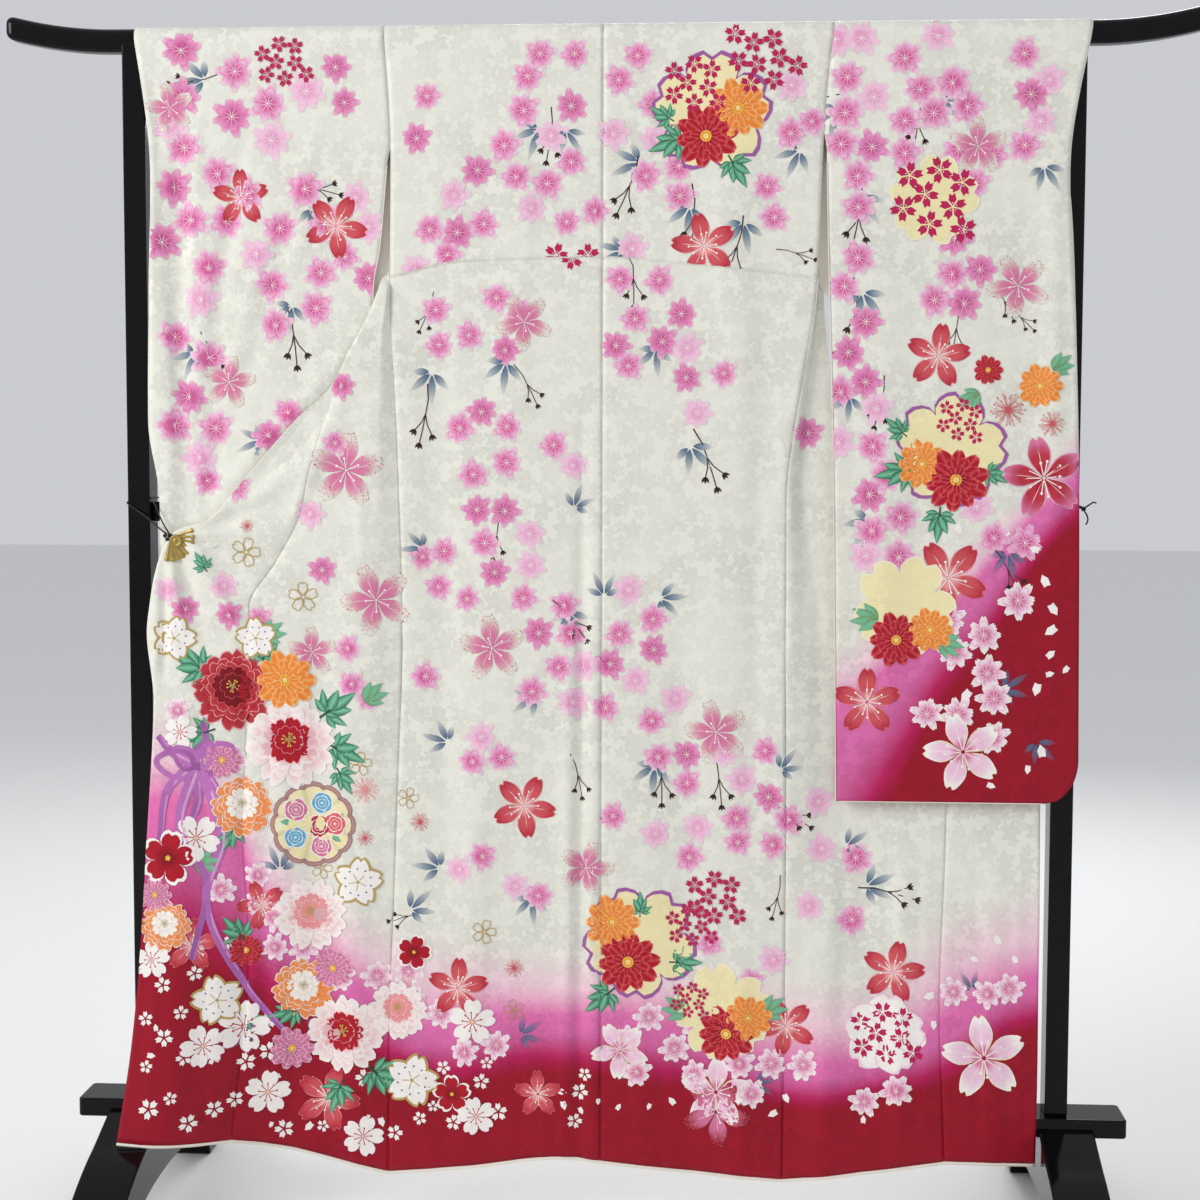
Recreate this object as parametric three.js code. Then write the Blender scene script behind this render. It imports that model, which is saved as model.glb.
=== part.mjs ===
// Furisode, a long-sleeved kimono, hung on a black lacquered kimono stand.
// Millimetres, +Z up, +Y to the back. The origin is the middle of the stand's footprint, on the floor.
// The outside of the kimono's back faces -Y and the bar runs through both sleeves. Both fronts are swung
// out to the sides: the left one (-X) lies over its sleeve, and the right one (+X) hangs behind its own.
import * as THREE from 'three';

// ---- Stand
const BAR_TOP = 1719;
const BAR_HEIGHT = 34;
const BAR_DEPTH = 28;
const BAR_HALF_LENGTH = 845;
const BAR_RISE = 21;
const BAR_RISE_START = 690;
const BAR_TIP_LENGTH = 12;
const BAR_TIP_SCALE = 0.55;
const POST_INNER = 643;
const POST_WIDTH = 32;
const POST_DEPTH = 44;
const POST_TOP = 1695;
const POST_CHAMFER = 3;
const RAIL_MIDDLE = 1034;
const RAIL_HEIGHT = 28;
const RAIL_DEPTH = 15;
const BLOCK_OUTER = 757;
const BLOCK_INNER = 563;
const BLOCK_DEPTH = 74;
const BLOCK_TOP = 177;
const BLOCK_BOTTOM = 150;
const BLOCK_CORNER = 7;
const FOOT_INNER = 632;
const FOOT_WIDTH = 78;
const JOINT_GAP = 0.3;

// ---- Kimono
const CLOTH = 1.2;
const SEAM_GAP = 0.3;
const ARMHOLE_GAP = 0.8;
const CENTRE_X = 8;
const FRONT_Y = -26;
const OVER_BAR_RADIUS = 26;
const OVER_BAR_Z = 1694;
const SHOULDER_Z = 1662;
const NECK_BACK_Z = 1689;
const NECK_HALF_WIDTH = 88;
const NECK_CORNER = 26;
const HEM_DRIFT = { by: 4, top: 1300, bottom: 100 };
const CALM_EDGE = 0.07;
const HEM_ROLL_RADIUS = 2.2;
const COLLAR_THICKNESS = 3;

// ---- Sleeves
const SLEEVE_REAR_Y = -16;
const SLEEVE_EDGE_FRONT_Y = -27.2;
const SLEEVE_EDGE_REAR_Y = -25.6;
const SLEEVE_REAR_RAMP = { top: 1640, bottom: 1504 };
const SLEEVE_EDGE_RAMP = { inner: 560, outer: 622 };
const SLEEVE_CLOSE = 70;
const ARM_TAPER = 25;

// ---- Fan clip and cord
const FAN = { x: -609, y: -36.9, z: 998, radius: 35, root: 2, from: 24, sweep: -132 };
const FAN_THICKNESS = 1.8;
const FAN_FLUTE = 0.9;
const FAN_RIBS = 9;
const FAN_HUB = { x: -601, z: 993, radius: 8, depth: 2.4, flare: 1, sides: 24 };
const CORD_RADIUS = 1.1;
const KNOT_RADIUS = 3.6;
const BALL_RADIUS = 3;
const KNOT_LEFT = new THREE.Vector3(-610.5, -37.8, 1001.1);
const KNOT_RIGHT = new THREE.Vector3(682.4, -13.4, 1043.6);

const deg = THREE.MathUtils.degToRad;
const mix = THREE.MathUtils.lerp;
const up = new THREE.Vector3(0, 0, 1);

function paint(color, roughness, metalness = 0) {
  return new THREE.MeshStandardMaterial({ color, roughness, metalness });
}
const SILK = paint(0xe6e3d8, 0.55);
const LINING = paint(0xf2ede4, 0.6);
const LACQUER = paint(0x0b0b0d, 0.15);
const BRASS = paint(0xa8842c, 0.35, 0.9);
const BLACK_CORD = paint(0x101010, 0.8);

// Zero before `from`, one after `to`, and an even S between them, in either direction.
function ease(from, to, at) {
  const t = THREE.MathUtils.clamp((at - from) / (to - from), 0, 1);
  return t * t * (3 - 2 * t);
}

// A smooth line through one column of a table, read by another column that only rises or only falls.
function track(rows, by, column) {
  const rising = rows[0][by] < rows[rows.length - 1][by];
  const sorted = rising ? rows : [...rows].reverse();
  const at = sorted.map((row) => row[by]);
  const value = sorted.map((row) => row[column]);
  const rate = (i) => (value[i + 1] - value[i]) / (at[i + 1] - at[i]);
  const slope = value.map((_, i) => {
    if (i === 0) return rate(0);
    if (i === value.length - 1) return rate(i - 1);
    return rate(i - 1) * rate(i) <= 0 ? 0 : (2 * rate(i - 1) * rate(i)) / (rate(i - 1) + rate(i));
  });
  return (x) => {
    const last = at.length - 2;
    let i = at.findIndex((knot) => knot > x) - 1;
    if (i < 0) i = x < at[0] ? 0 : last;
    const width = at[i + 1] - at[i];
    const t = THREE.MathUtils.clamp((x - at[i]) / width, 0, 1);
    const rest = 1 - t;
    const start = rest * rest * (1 + 2 * t) * value[i] + rest * rest * t * width * slope[i];
    return start + t * t * (3 - 2 * t) * value[i + 1] - t * t * rest * width * slope[i + 1];
  };
}

// Even stops from `from` to `to`, without the first, so that stretches can be strung together.
const stretch = (from, to, count) => Array.from({ length: count }, (_, i) => mix(from, to, (i + 1) / count));

function solid(name, material, positions, triangles) {
  const corner = (i) => new THREE.Vector3().fromArray(positions, 3 * i);
  let volume = 0;
  for (let i = 0; i < triangles.length; i += 3) {
    const [a, b, c] = triangles.slice(i, i + 3).map(corner);
    volume += a.dot(b.cross(c));
  }
  const index = volume > 0 ? triangles : [...triangles].reverse();
  const geometry = new THREE.BufferGeometry();
  geometry.setAttribute('position', new THREE.Float32BufferAttribute(positions, 3));
  geometry.setIndex(index);
  geometry.computeVertexNormals();
  const mesh = new THREE.Mesh(geometry, material);
  mesh.name = name;
  return mesh;
}

// A closed wall of even thickness about the surface middle(u, v), with one grid on each face and a rim.
function wall(name, material, columns, rows, middle, thickness = CLOTH) {
  const step = 1e-4;
  const normal = (u, v) => {
    const across = middle(Math.min(u + step, 1), v).sub(middle(Math.max(u - step, 0), v));
    const along = middle(u, Math.min(v + step, 1)).sub(middle(u, Math.max(v - step, 0)));
    return across.cross(along).normalize();
  };
  const positions = [];
  for (const side of [thickness / 2, -thickness / 2]) {
    for (const v of rows) {
      for (const u of columns) {
        positions.push(...middle(u, v).addScaledVector(normal(u, v), side).toArray());
      }
    }
  }
  const width = columns.length;
  const layer = width * rows.length;
  const triangles = [];
  const quad = (a, b, c, d) => triangles.push(a, b, c, a, c, d);
  for (let j = 0; j + 1 < rows.length; j += 1) {
    for (let i = 0; i + 1 < width; i += 1) {
      const a = j * width + i;
      quad(a, a + 1, a + 1 + width, a + width);
      quad(a + layer, a + width + layer, a + 1 + width + layer, a + 1 + layer);
    }
  }
  const rim = (a, b) => quad(b, a, a + layer, b + layer);
  for (let i = 0; i + 1 < width; i += 1) {
    const low = layer - width + i;
    rim(i, i + 1);
    rim(low + 1, low);
  }
  for (let j = 0; j + 1 < rows.length; j += 1) {
    const right = j * width + width - 1;
    rim(right, right + width);
    rim((j + 1) * width, j * width);
  }
  return solid(name, material, positions, triangles);
}

// A closed solid through equal rings of points, with a fan over each end.
function loft(name, material, rings) {
  const sides = rings[0].length;
  const positions = rings.flat().flatMap((point) => point.toArray());
  const triangles = [];
  for (let j = 0; j + 1 < rings.length; j += 1) {
    for (let i = 0; i < sides; i += 1) {
      const next = (i + 1) % sides;
      const a = j * sides + i;
      const b = j * sides + next;
      triangles.push(a, b, b + sides, a, b + sides, a + sides);
    }
  }
  const last = sides * (rings.length - 1);
  for (let i = 1; i + 1 < sides; i += 1) {
    triangles.push(0, i + 1, i);
    triangles.push(last, last + i, last + i + 1);
  }
  return solid(name, material, positions, triangles);
}

// A round tube along a smooth path, with `steps` rings to each span between its points.
function tube(name, material, points, radius, steps, sides = 6) {
  const path = new THREE.CatmullRomCurve3(points, false, 'centripetal');
  const spans = steps * (points.length - 1);
  const rings = [];
  let side = up.clone();
  for (let j = 0; j <= spans; j += 1) {
    const along = path.getTangent(j / spans);
    side = side.addScaledVector(along, -side.dot(along)).normalize();
    const other = along.clone().cross(side);
    const centre = path.getPoint(j / spans);
    rings.push(Array.from({ length: sides }, (_, i) => {
      const turn = (2 * Math.PI * i) / sides;
      const reach = side.clone().multiplyScalar(radius * Math.cos(turn));
      return reach.addScaledVector(other, radius * Math.sin(turn)).add(centre);
    }));
  }
  return loft(name, material, rings);
}

// ---- Outlines of the kimono, seen from -Y

// Edge between a body panel and the sleeve, then the side seam below the arm.
const BODY_SIDE_LEFT = [
  { z: 1720, x: -301 },
  { z: 1551, x: -291.5 },
  { z: 1358, x: -293 },
  { z: 1130, x: -284 },
  { z: 910, x: -278 },
  { z: 504, x: -290 },
  { z: 313, x: -298 },
  { z: 70, x: -302 },
];
const BODY_SIDE_RIGHT = [
  { z: 1720, x: 328 },
  { z: 1568, x: 315 },
  { z: 1357, x: 308 },
  { z: 1200, x: 285 },
  { z: 1055, x: 268 },
  { z: 700, x: 269 },
  { z: 339, x: 271 },
  { z: 75, x: 270 },
];
const HEM = [
  { x: -302, z: 76 },
  { x: -180, z: 88 },
  { x: -46, z: 104 },
  { x: 0, z: 100 },
  { x: 130, z: 88 },
  { x: 270, z: 78 },
];
// Inner edge: sewn to the body down to the arm, and free below it. Outer edge: cuff, then the seam.
const SLEEVE_LEFT = {
  sewn: BODY_SIDE_LEFT,
  armEnd: 1551,
  inner: [
    { z: 1551, x: -294 },
    { z: 1480, x: -300 },
    { z: 1400, x: -308 },
    { z: 1366, x: -315 },
    { z: 1340, x: -317 },
    { z: 627, x: -317 },
  ],
  outer: [
    { z: 1720, x: -658 },
    { z: 1515, x: -634 },
    { z: 1164, x: -642 },
    { z: 1051, x: -627 },
    { z: 900, x: -626 },
    { z: 672, x: -628 },
  ],
  rearOuter: [
    { z: 1720, x: -658 },
    { z: 1690, x: -656 },
    { z: 1660, x: -640 },
    { z: 1515, x: -634 },
    { z: 1340, x: -639 },
    { z: 1164, x: -641 },
    { z: 1051, x: -627 },
    { z: 900, x: -626 },
    { z: 672, x: -628 },
  ],
  cornerTop: 672,
  cornerWidth: 45,
  bottom: 627,
};
const SLEEVE_RIGHT = {
  sewn: BODY_SIDE_RIGHT,
  armEnd: 1568,
  inner: [
    { z: 1568, x: 318 },
    { z: 1430, x: 322 },
    { z: 1125, x: 332 },
    { z: 633, x: 341 },
  ],
  outer: [
    { z: 1720, x: 683 },
    { z: 1514, x: 653 },
    { z: 1300, x: 665 },
    { z: 1056, x: 674 },
    { z: 690, x: 680 },
  ],
  rearOuter: [
    { z: 1720, x: 683 },
    { z: 1692, x: 680 },
    { z: 1650, x: 640 },
    { z: 1504, x: 640 },
    { z: 1478, x: 654 },
    { z: 1300, x: 665 },
    { z: 1056, x: 674 },
    { z: 690, x: 680 },
  ],
  cornerTop: 690,
  cornerWidth: 46,
  bottom: 628,
};
const OKUMI_SEAM_LEFT = [
  { z: 1207, x: -377 },
  { z: 1155, x: -391 },
  { z: 1095, x: -408 },
  { z: 1028, x: -424 },
  { z: 958, x: -462 },
  { z: 900, x: -497 },
  { z: 845, x: -496 },
  { z: 745, x: -502 },
  { z: 578, x: -509 },
  { z: 412, x: -500 },
  { z: 131, x: -522 },
];
const OKUMI_SEAM_RIGHT = [
  { z: 880, x: 466 },
  { z: 730, x: 490 },
  { z: 628, x: 499 },
  { z: 345, x: 491 },
  { z: 114, x: 500 },
];
// Each row joins the side seam (seamX, seamY, seamZ) to the edge at the collar or the okumi. The panel
// hangs behind the bar, gathers at the top of the side seam, turns over there and spreads outwards.
const FRONT_LEFT = [
  { at: 0.0, seamX: -299.6, seamY: 26, seamZ: 1661.4, edgeX: -80, edgeY: 26, edgeZ: 1661.4 },
  { at: 0.07, seamX: -294.6, seamY: 25.5, seamZ: 1600, edgeX: -128, edgeY: 26, edgeZ: 1600 },
  { at: 0.12, seamX: -291, seamY: 24, seamZ: 1551, edgeX: -166, edgeY: 25, edgeZ: 1551 },
  { at: 0.18, seamX: -294, seamY: 18, seamZ: 1480, edgeX: -221, edgeY: 22, edgeZ: 1480 },
  { at: 0.23, seamX: -297, seamY: 6, seamZ: 1425, edgeX: -262, edgeY: 14, edgeZ: 1427 },
  { at: 0.26, seamX: -297, seamY: -8, seamZ: 1395, edgeX: -287, edgeY: 5, edgeZ: 1397 },
  { at: 0.28, seamX: -295.3, seamY: -19, seamZ: 1377, edgeX: -300, edgeY: -6, edgeZ: 1380 },
  { at: 0.3, seamX: -294, seamY: -25, seamZ: 1364, edgeX: -305, edgeY: -22, edgeZ: 1366 },
  { at: 0.32, seamX: -293.6, seamY: -26, seamZ: 1352, edgeX: -308, edgeY: -32.5, edgeZ: 1353 },
  { at: 0.35, seamX: -293.3, seamY: -26, seamZ: 1330, edgeX: -320, edgeY: -33.5, edgeZ: 1322 },
  { at: 0.39, seamX: -292.3, seamY: -26, seamZ: 1290, edgeX: -357, edgeY: -33.5, edgeZ: 1250 },
  { at: 0.43, seamX: -290, seamY: -26, seamZ: 1225, edgeX: -377, edgeY: -33.5, edgeZ: 1207 },
  { at: 0.53, seamX: -284, seamY: -26, seamZ: 1090, edgeX: -424, edgeY: -33.5, edgeZ: 1028 },
  { at: 0.61, seamX: -278.6, seamY: -26, seamZ: 930, edgeX: -500, edgeY: -33.5, edgeZ: 893 },
  { at: 0.64, seamX: -279.3, seamY: -26.4, seamZ: 845, edgeX: -494, edgeY: -33.5, edgeZ: 838 },
  { at: 0.69, seamX: -282, seamY: -27, seamZ: 745, edgeX: -502, edgeY: -33.5, edgeZ: 745 },
  { at: 0.77, seamX: -288, seamY: -27.6, seamZ: 578, edgeX: -509, edgeY: -33.5, edgeZ: 578 },
  { at: 0.85, seamX: -294, seamY: -28.4, seamZ: 412, edgeX: -500, edgeY: -33.5, edgeZ: 412 },
  { at: 1.0, seamX: -302.3, seamY: -30, seamZ: 76, edgeX: -522, edgeY: -33.5, edgeZ: 131 },
];
const OKUMI_LEFT = [
  { at: 0.0, seamX: -378, seamY: -33.5, seamZ: 1203, edgeX: -386, edgeY: -33.5, edgeZ: 1201 },
  { at: 0.05, seamX: -391, seamY: -33.5, seamZ: 1155, edgeX: -419, edgeY: -33.5, edgeZ: 1174 },
  { at: 0.14, seamX: -408, seamY: -33.5, seamZ: 1095, edgeX: -502, edgeY: -33.5, edgeZ: 1082 },
  { at: 0.22, seamX: -424.3, seamY: -33.5, seamZ: 1028, edgeX: -554, edgeY: -33.5, edgeZ: 1024 },
  { at: 0.28, seamX: -462, seamY: -33.5, seamZ: 958, edgeX: -605, edgeY: -33.5, edgeZ: 1006 },
  { at: 0.34, seamX: -491, seamY: -33.5, seamZ: 912, edgeX: -629, edgeY: -33.5, edgeZ: 962 },
  { at: 0.4, seamX: -499.6, seamY: -33.5, seamZ: 875, edgeX: -641, edgeY: -33.5, edgeZ: 905 },
  { at: 0.45, seamX: -494.4, seamY: -33.5, seamZ: 838, edgeX: -646, edgeY: -33.5, edgeZ: 860 },
  { at: 0.54, seamX: -502.3, seamY: -33.5, seamZ: 745, edgeX: -636, edgeY: -33.5, edgeZ: 765 },
  { at: 0.7, seamX: -509.3, seamY: -33.5, seamZ: 578, edgeX: -644, edgeY: -33.5, edgeZ: 560 },
  { at: 0.8, seamX: -500.3, seamY: -33.5, seamZ: 412, edgeX: -649, edgeY: -33.5, edgeZ: 420 },
  { at: 0.9, seamX: -510, seamY: -33.5, seamZ: 270, edgeX: -658, edgeY: -33.5, edgeZ: 280 },
  { at: 1.0, seamX: -522.3, seamY: -33.5, seamZ: 131, edgeX: -675, edgeY: -33.5, edgeZ: 141 },
];
const FRONT_RIGHT = [
  { at: 0.0, seamX: 322, seamY: 26, seamZ: 1661.4, edgeX: 96, edgeY: 26, edgeZ: 1661.4 },
  { at: 0.07, seamX: 317, seamY: 25.5, seamZ: 1600, edgeX: 144, edgeY: 26, edgeZ: 1600 },
  { at: 0.12, seamX: 313.6, seamY: 24, seamZ: 1555, edgeX: 180, edgeY: 25, edgeZ: 1555 },
  { at: 0.18, seamX: 313, seamY: 17, seamZ: 1480, edgeX: 236, edgeY: 21, edgeZ: 1480 },
  { at: 0.23, seamX: 312.5, seamY: 6, seamZ: 1425, edgeX: 278, edgeY: 13, edgeZ: 1427 },
  { at: 0.26, seamX: 311.5, seamY: -8, seamZ: 1395, edgeX: 303, edgeY: 3, edgeZ: 1397 },
  { at: 0.28, seamX: 310, seamY: -18, seamZ: 1378, edgeX: 313, edgeY: -3, edgeZ: 1381 },
  { at: 0.3, seamX: 309, seamY: -24, seamZ: 1363, edgeX: 316, edgeY: -9, edgeZ: 1364 },
  { at: 0.32, seamX: 308.2, seamY: -26, seamZ: 1350, edgeX: 317, edgeY: -11.5, edgeZ: 1350 },
  { at: 0.36, seamX: 303.3, seamY: -26, seamZ: 1310, edgeX: 319, edgeY: -12.5, edgeZ: 1310 },
  { at: 0.4, seamX: 295.3, seamY: -26, seamZ: 1262, edgeX: 324, edgeY: -12.5, edgeZ: 1262 },
  { at: 0.45, seamX: 282.2, seamY: -26, seamZ: 1180, edgeX: 330, edgeY: -12.5, edgeZ: 1178 },
  { at: 0.51, seamX: 269.3, seamY: -26, seamZ: 1075, edgeX: 346, edgeY: -12.5, edgeZ: 1095 },
  { at: 0.58, seamX: 268.4, seamY: -26, seamZ: 950, edgeX: 400, edgeY: -12.5, edgeZ: 985 },
  { at: 0.66, seamX: 268.8, seamY: -26.5, seamZ: 800, edgeX: 466, edgeY: -12.5, edgeZ: 880 },
  { at: 0.77, seamX: 269.6, seamY: -27.3, seamZ: 628, edgeX: 499, edgeY: -12.5, edgeZ: 640 },
  { at: 0.88, seamX: 271, seamY: -28.6, seamZ: 345, edgeX: 491, edgeY: -12.5, edgeZ: 345 },
  { at: 1.0, seamX: 270.3, seamY: -30, seamZ: 78, edgeX: 500, edgeY: -12.5, edgeZ: 114 },
];
const OKUMI_RIGHT = [
  { at: 0.0, seamX: 466.3, seamY: -12.5, seamZ: 874, edgeX: 474, edgeY: -12.5, edgeZ: 868 },
  { at: 0.12, seamX: 480.3, seamY: -12.5, seamZ: 800, edgeX: 540, edgeY: -12.5, edgeZ: 790 },
  { at: 0.22, seamX: 491.3, seamY: -12.5, seamZ: 730, edgeX: 598, edgeY: -12.5, edgeZ: 727 },
  { at: 0.3, seamX: 497.3, seamY: -12.5, seamZ: 670, edgeX: 629, edgeY: -12.5, edgeZ: 680 },
  { at: 0.38, seamX: 498.3, seamY: -12.5, seamZ: 610, edgeX: 630.5, edgeY: -12.5, edgeZ: 620 },
  { at: 0.7, seamX: 491.3, seamY: -12.5, seamZ: 345, edgeX: 629.5, edgeY: -12.5, edgeZ: 345 },
  { at: 1.0, seamX: 500.3, seamY: -12.5, seamZ: 114, edgeX: 628, edgeY: -12.5, edgeZ: 114 },
];
// The collar's middle line from the left end, over the back of the neck, to the right end. Its side
// vector (sideX, sideY, sideZ) lies across the band.
const COLLAR = [
  { x: -588, y: -30.8, z: 983, sideX: -0.7, sideY: 0, sideZ: 0.7, width: 34 },
  { x: -541, y: -30.8, z: 1010, sideX: -0.7, sideY: 0, sideZ: 0.7, width: 40 },
  { x: -489, y: -30.8, z: 1066, sideX: -0.7, sideY: 0, sideZ: 0.7, width: 40 },
  { x: -410, y: -30.8, z: 1152, sideX: -0.7, sideY: 0, sideZ: 0.7, width: 40 },
  { x: -363, y: -30.8, z: 1204, sideX: -0.8, sideY: 0, sideZ: 0.6, width: 34 },
  { x: -335, y: -30.8, z: 1257, sideX: -0.86, sideY: 0, sideZ: 0.5, width: 27 },
  { x: -314, y: -31, z: 1312, sideX: -0.9, sideY: 0, sideZ: 0.43, width: 13 },
  { x: -308, y: -27, z: 1340, sideX: -0.9, sideY: 0.3, sideZ: 0.3, width: 8 },
  { x: -306, y: -19, z: 1352, sideX: -0.9, sideY: 0.3, sideZ: 0.1, width: 7 },
  { x: -302, y: -7, z: 1363, sideX: -0.7, sideY: 0.7, sideZ: 0, width: 7 },
  { x: -294, y: 5, z: 1378, sideX: 0, sideY: 1, sideZ: 0, width: 8 },
  { x: -279, y: 14, z: 1394, sideX: 0.6, sideY: 0.8, sideZ: 0, width: 12 },
  { x: -241, y: 23, z: 1425, sideX: 0.74, sideY: 0.3, sideZ: -0.6, width: 26 },
  { x: -196, y: 25, z: 1474, sideX: 0.78, sideY: 0.1, sideZ: -0.62, width: 36 },
  { x: -146, y: 26, z: 1540, sideX: 0.79, sideY: 0, sideZ: -0.61, width: 40 },
  { x: -88, y: 26, z: 1617, sideX: 0.77, sideY: 0, sideZ: -0.64, width: 40 },
  { x: -52, y: 26.5, z: 1652, sideX: 0.5, sideY: 0, sideZ: -0.87, width: 40 },
  { x: 8, y: 27, z: 1664, sideX: 0, sideY: 0, sideZ: -1, width: 40 },
  { x: 68, y: 26.5, z: 1652, sideX: -0.5, sideY: 0, sideZ: -0.87, width: 40 },
  { x: 104, y: 26, z: 1617, sideX: -0.77, sideY: 0, sideZ: -0.64, width: 40 },
  { x: 161, y: 26, z: 1540, sideX: -0.79, sideY: 0, sideZ: -0.61, width: 40 },
  { x: 211, y: 25, z: 1474, sideX: -0.78, sideY: 0.1, sideZ: -0.62, width: 36 },
  { x: 256, y: 23, z: 1426, sideX: -0.74, sideY: 0.3, sideZ: -0.6, width: 26 },
  { x: 292, y: 14, z: 1398, sideX: -0.6, sideY: 0.8, sideZ: 0, width: 12 },
  { x: 307, y: 7, z: 1378, sideX: 0, sideY: 1, sideZ: 0, width: 8 },
  { x: 311, y: 1, z: 1362, sideX: 0.5, sideY: 0.8, sideZ: 0, width: 8 },
  { x: 312, y: -5, z: 1344, sideX: 0.9, sideY: 0.3, sideZ: 0, width: 9 },
  { x: 311, y: -9, z: 1316, sideX: 1, sideY: 0, sideZ: 0, width: 15 },
  { x: 310, y: -10.1, z: 1270, sideX: 1, sideY: 0, sideZ: 0.1, width: 26 },
  { x: 314, y: -10.1, z: 1180, sideX: 0.97, sideY: 0, sideZ: 0.2, width: 32 },
  { x: 331, y: -10.1, z: 1085, sideX: 0.86, sideY: 0, sideZ: 0.5, width: 38 },
  { x: 386, y: -10.1, z: 970, sideX: 0.82, sideY: 0, sideZ: 0.57, width: 40 },
  { x: 451, y: -10.1, z: 866, sideX: 0.8, sideY: 0, sideZ: 0.6, width: 40 },
  { x: 524, y: -10.1, z: 777, sideX: 0.74, sideY: 0, sideZ: 0.67, width: 40 },
  { x: 606, y: -10.1, z: 690, sideX: 0.7, sideY: 0, sideZ: 0.7, width: 34 },
];
// The largest folds: soft ridges (rise towards -Y) and troughs (negative) along a line on the cloth.
const BODY_FOLDS = [
  { fromX: -20, fromZ: 1180, toX: -24, toZ: 60, width: 9, rise: -5 },
  { fromX: -38, fromZ: 900, toX: -44, toZ: 60, width: 10, rise: 4 },
  { fromX: -2, fromZ: 1000, toX: -4, toZ: 60, width: 9, rise: 3 },
  { fromX: -232, fromZ: 1300, toX: -214, toZ: 520, width: 26, rise: -4 },
  { fromX: -170, fromZ: 700, toX: -190, toZ: 70, width: 24, rise: 4 },
  { fromX: -105, fromZ: 1640, toX: -120, toZ: 1120, width: 30, rise: 3 },
  { fromX: 180, fromZ: 1640, toX: 205, toZ: 1150, width: 30, rise: 3 },
  { fromX: 238, fromZ: 1320, toX: 222, toZ: 560, width: 20, rise: -4 },
  { fromX: 120, fromZ: 900, toX: 140, toZ: 70, width: 28, rise: -4 },
  { fromX: 205, fromZ: 420, toX: 212, toZ: 70, width: 20, rise: 4 },
];
const SLEEVE_LEFT_FOLDS = [
  { fromX: -598, fromZ: 1640, toX: -590, toZ: 1010, width: 13, rise: -5 },
  { fromX: -618, fromZ: 1420, toX: -612, toZ: 1020, width: 9, rise: 3 },
  { fromX: -524, fromZ: 1290, toX: -566, toZ: 1020, width: 16, rise: -4 },
  { fromX: -552, fromZ: 1480, toX: -574, toZ: 1040, width: 14, rise: 3 },
];
const SLEEVE_RIGHT_FOLDS = [
  { fromX: 628, fromZ: 1640, toX: 640, toZ: 1000, width: 13, rise: 3 },
  { fromX: 600, fromZ: 1500, toX: 604, toZ: 800, width: 22, rise: -3 },
  { fromX: 400, fromZ: 1400, toX: 410, toZ: 700, width: 26, rise: 3 },
];
const OPEN_FRONT_FOLDS = [
  { fromX: -588, fromZ: 1000, toX: -508, toZ: 872, width: 12, rise: 5 },
  { fromX: -596, fromZ: 948, toX: -562, toZ: 850, width: 9, rise: -4 },
  { fromX: -612, fromZ: 960, toX: -604, toZ: 830, width: 9, rise: 4 },
  { fromX: -556, fromZ: 958, toX: -446, toZ: 915, width: 14, rise: -4 },
  { fromX: -330, fromZ: 1280, toX: -420, toZ: 1050, width: 16, rise: 3 },
  { fromX: -505, fromZ: 900, toX: -512, toZ: 200, width: 9, rise: -4 },
  { fromX: -590, fromZ: 800, toX: -600, toZ: 170, width: 20, rise: 4 },
  { fromX: -400, fromZ: 960, toX: -396, toZ: 120, width: 26, rise: -5 },
  { fromX: -452, fromZ: 700, toX: -462, toZ: 120, width: 18, rise: 4 },
  { fromX: -350, fromZ: 520, toX: -352, toZ: 100, width: 18, rise: 4 },
  { fromX: 380, fromZ: 600, toX: 384, toZ: 110, width: 26, rise: -5 },
  { fromX: 440, fromZ: 560, toX: 436, toZ: 120, width: 18, rise: 4 },
  { fromX: 330, fromZ: 560, toX: 322, toZ: 100, width: 16, rise: 3 },
  { fromX: 570, fromZ: 560, toX: 566, toZ: 130, width: 18, rise: 3 },
];

// How far the folds of a table stand towards -Y at a place on the cloth. A fold starts shallow, as a share.
const FOLD_START = 0.35;
function relief(folds, x, z) {
  const place = new THREE.Vector3(x, 0, z);
  const near = new THREE.Vector3();
  return folds.reduce((sum, fold) => {
    const from = new THREE.Vector3(fold.fromX, 0, fold.fromZ);
    const line = new THREE.Line3(from, new THREE.Vector3(fold.toX, 0, fold.toZ));
    const along = line.closestPointToPointParameter(place, true);
    const off = line.at(along, near).distanceTo(place) / fold.width;
    const fade = Math.min(1, FOLD_START + 4 * along * (1 - along));
    return sum + fold.rise * fade * Math.exp(-off * off);
  }, 0);
}

// The left front is drawn forward over the foot towards its lower corner.
const FOOT_CLEARANCE = 90;
const FOOT_PUSH = { top: 900, bottom: 130, inner: -430, outer: -640, power: 1.6 };
function forwardPush(x, z) {
  const down = THREE.MathUtils.clamp((FOOT_PUSH.top - z) / (FOOT_PUSH.top - FOOT_PUSH.bottom), 0, 1);
  return FOOT_CLEARANCE * ease(FOOT_PUSH.inner, FOOT_PUSH.outer, x) * down ** FOOT_PUSH.power;
}

// The right front hangs behind its sleeve, and comes forward below it to clear the block.
const RIGHT_DRIFT = [
  { from: 620, to: 420, by: 17 },
  { from: 420, to: 200, by: 13 },
];
function rightFrontDepth(z) {
  return RIGHT_DRIFT.reduce((sum, { from, to, by }) => sum + by * ease(from, to, z), 0);
}

const hemHeight = track(HEM, 'x', 'z');
const bodyDepth = (z) => FRONT_Y - HEM_DRIFT.by * ease(HEM_DRIFT.top, HEM_DRIFT.bottom, z);

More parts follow.
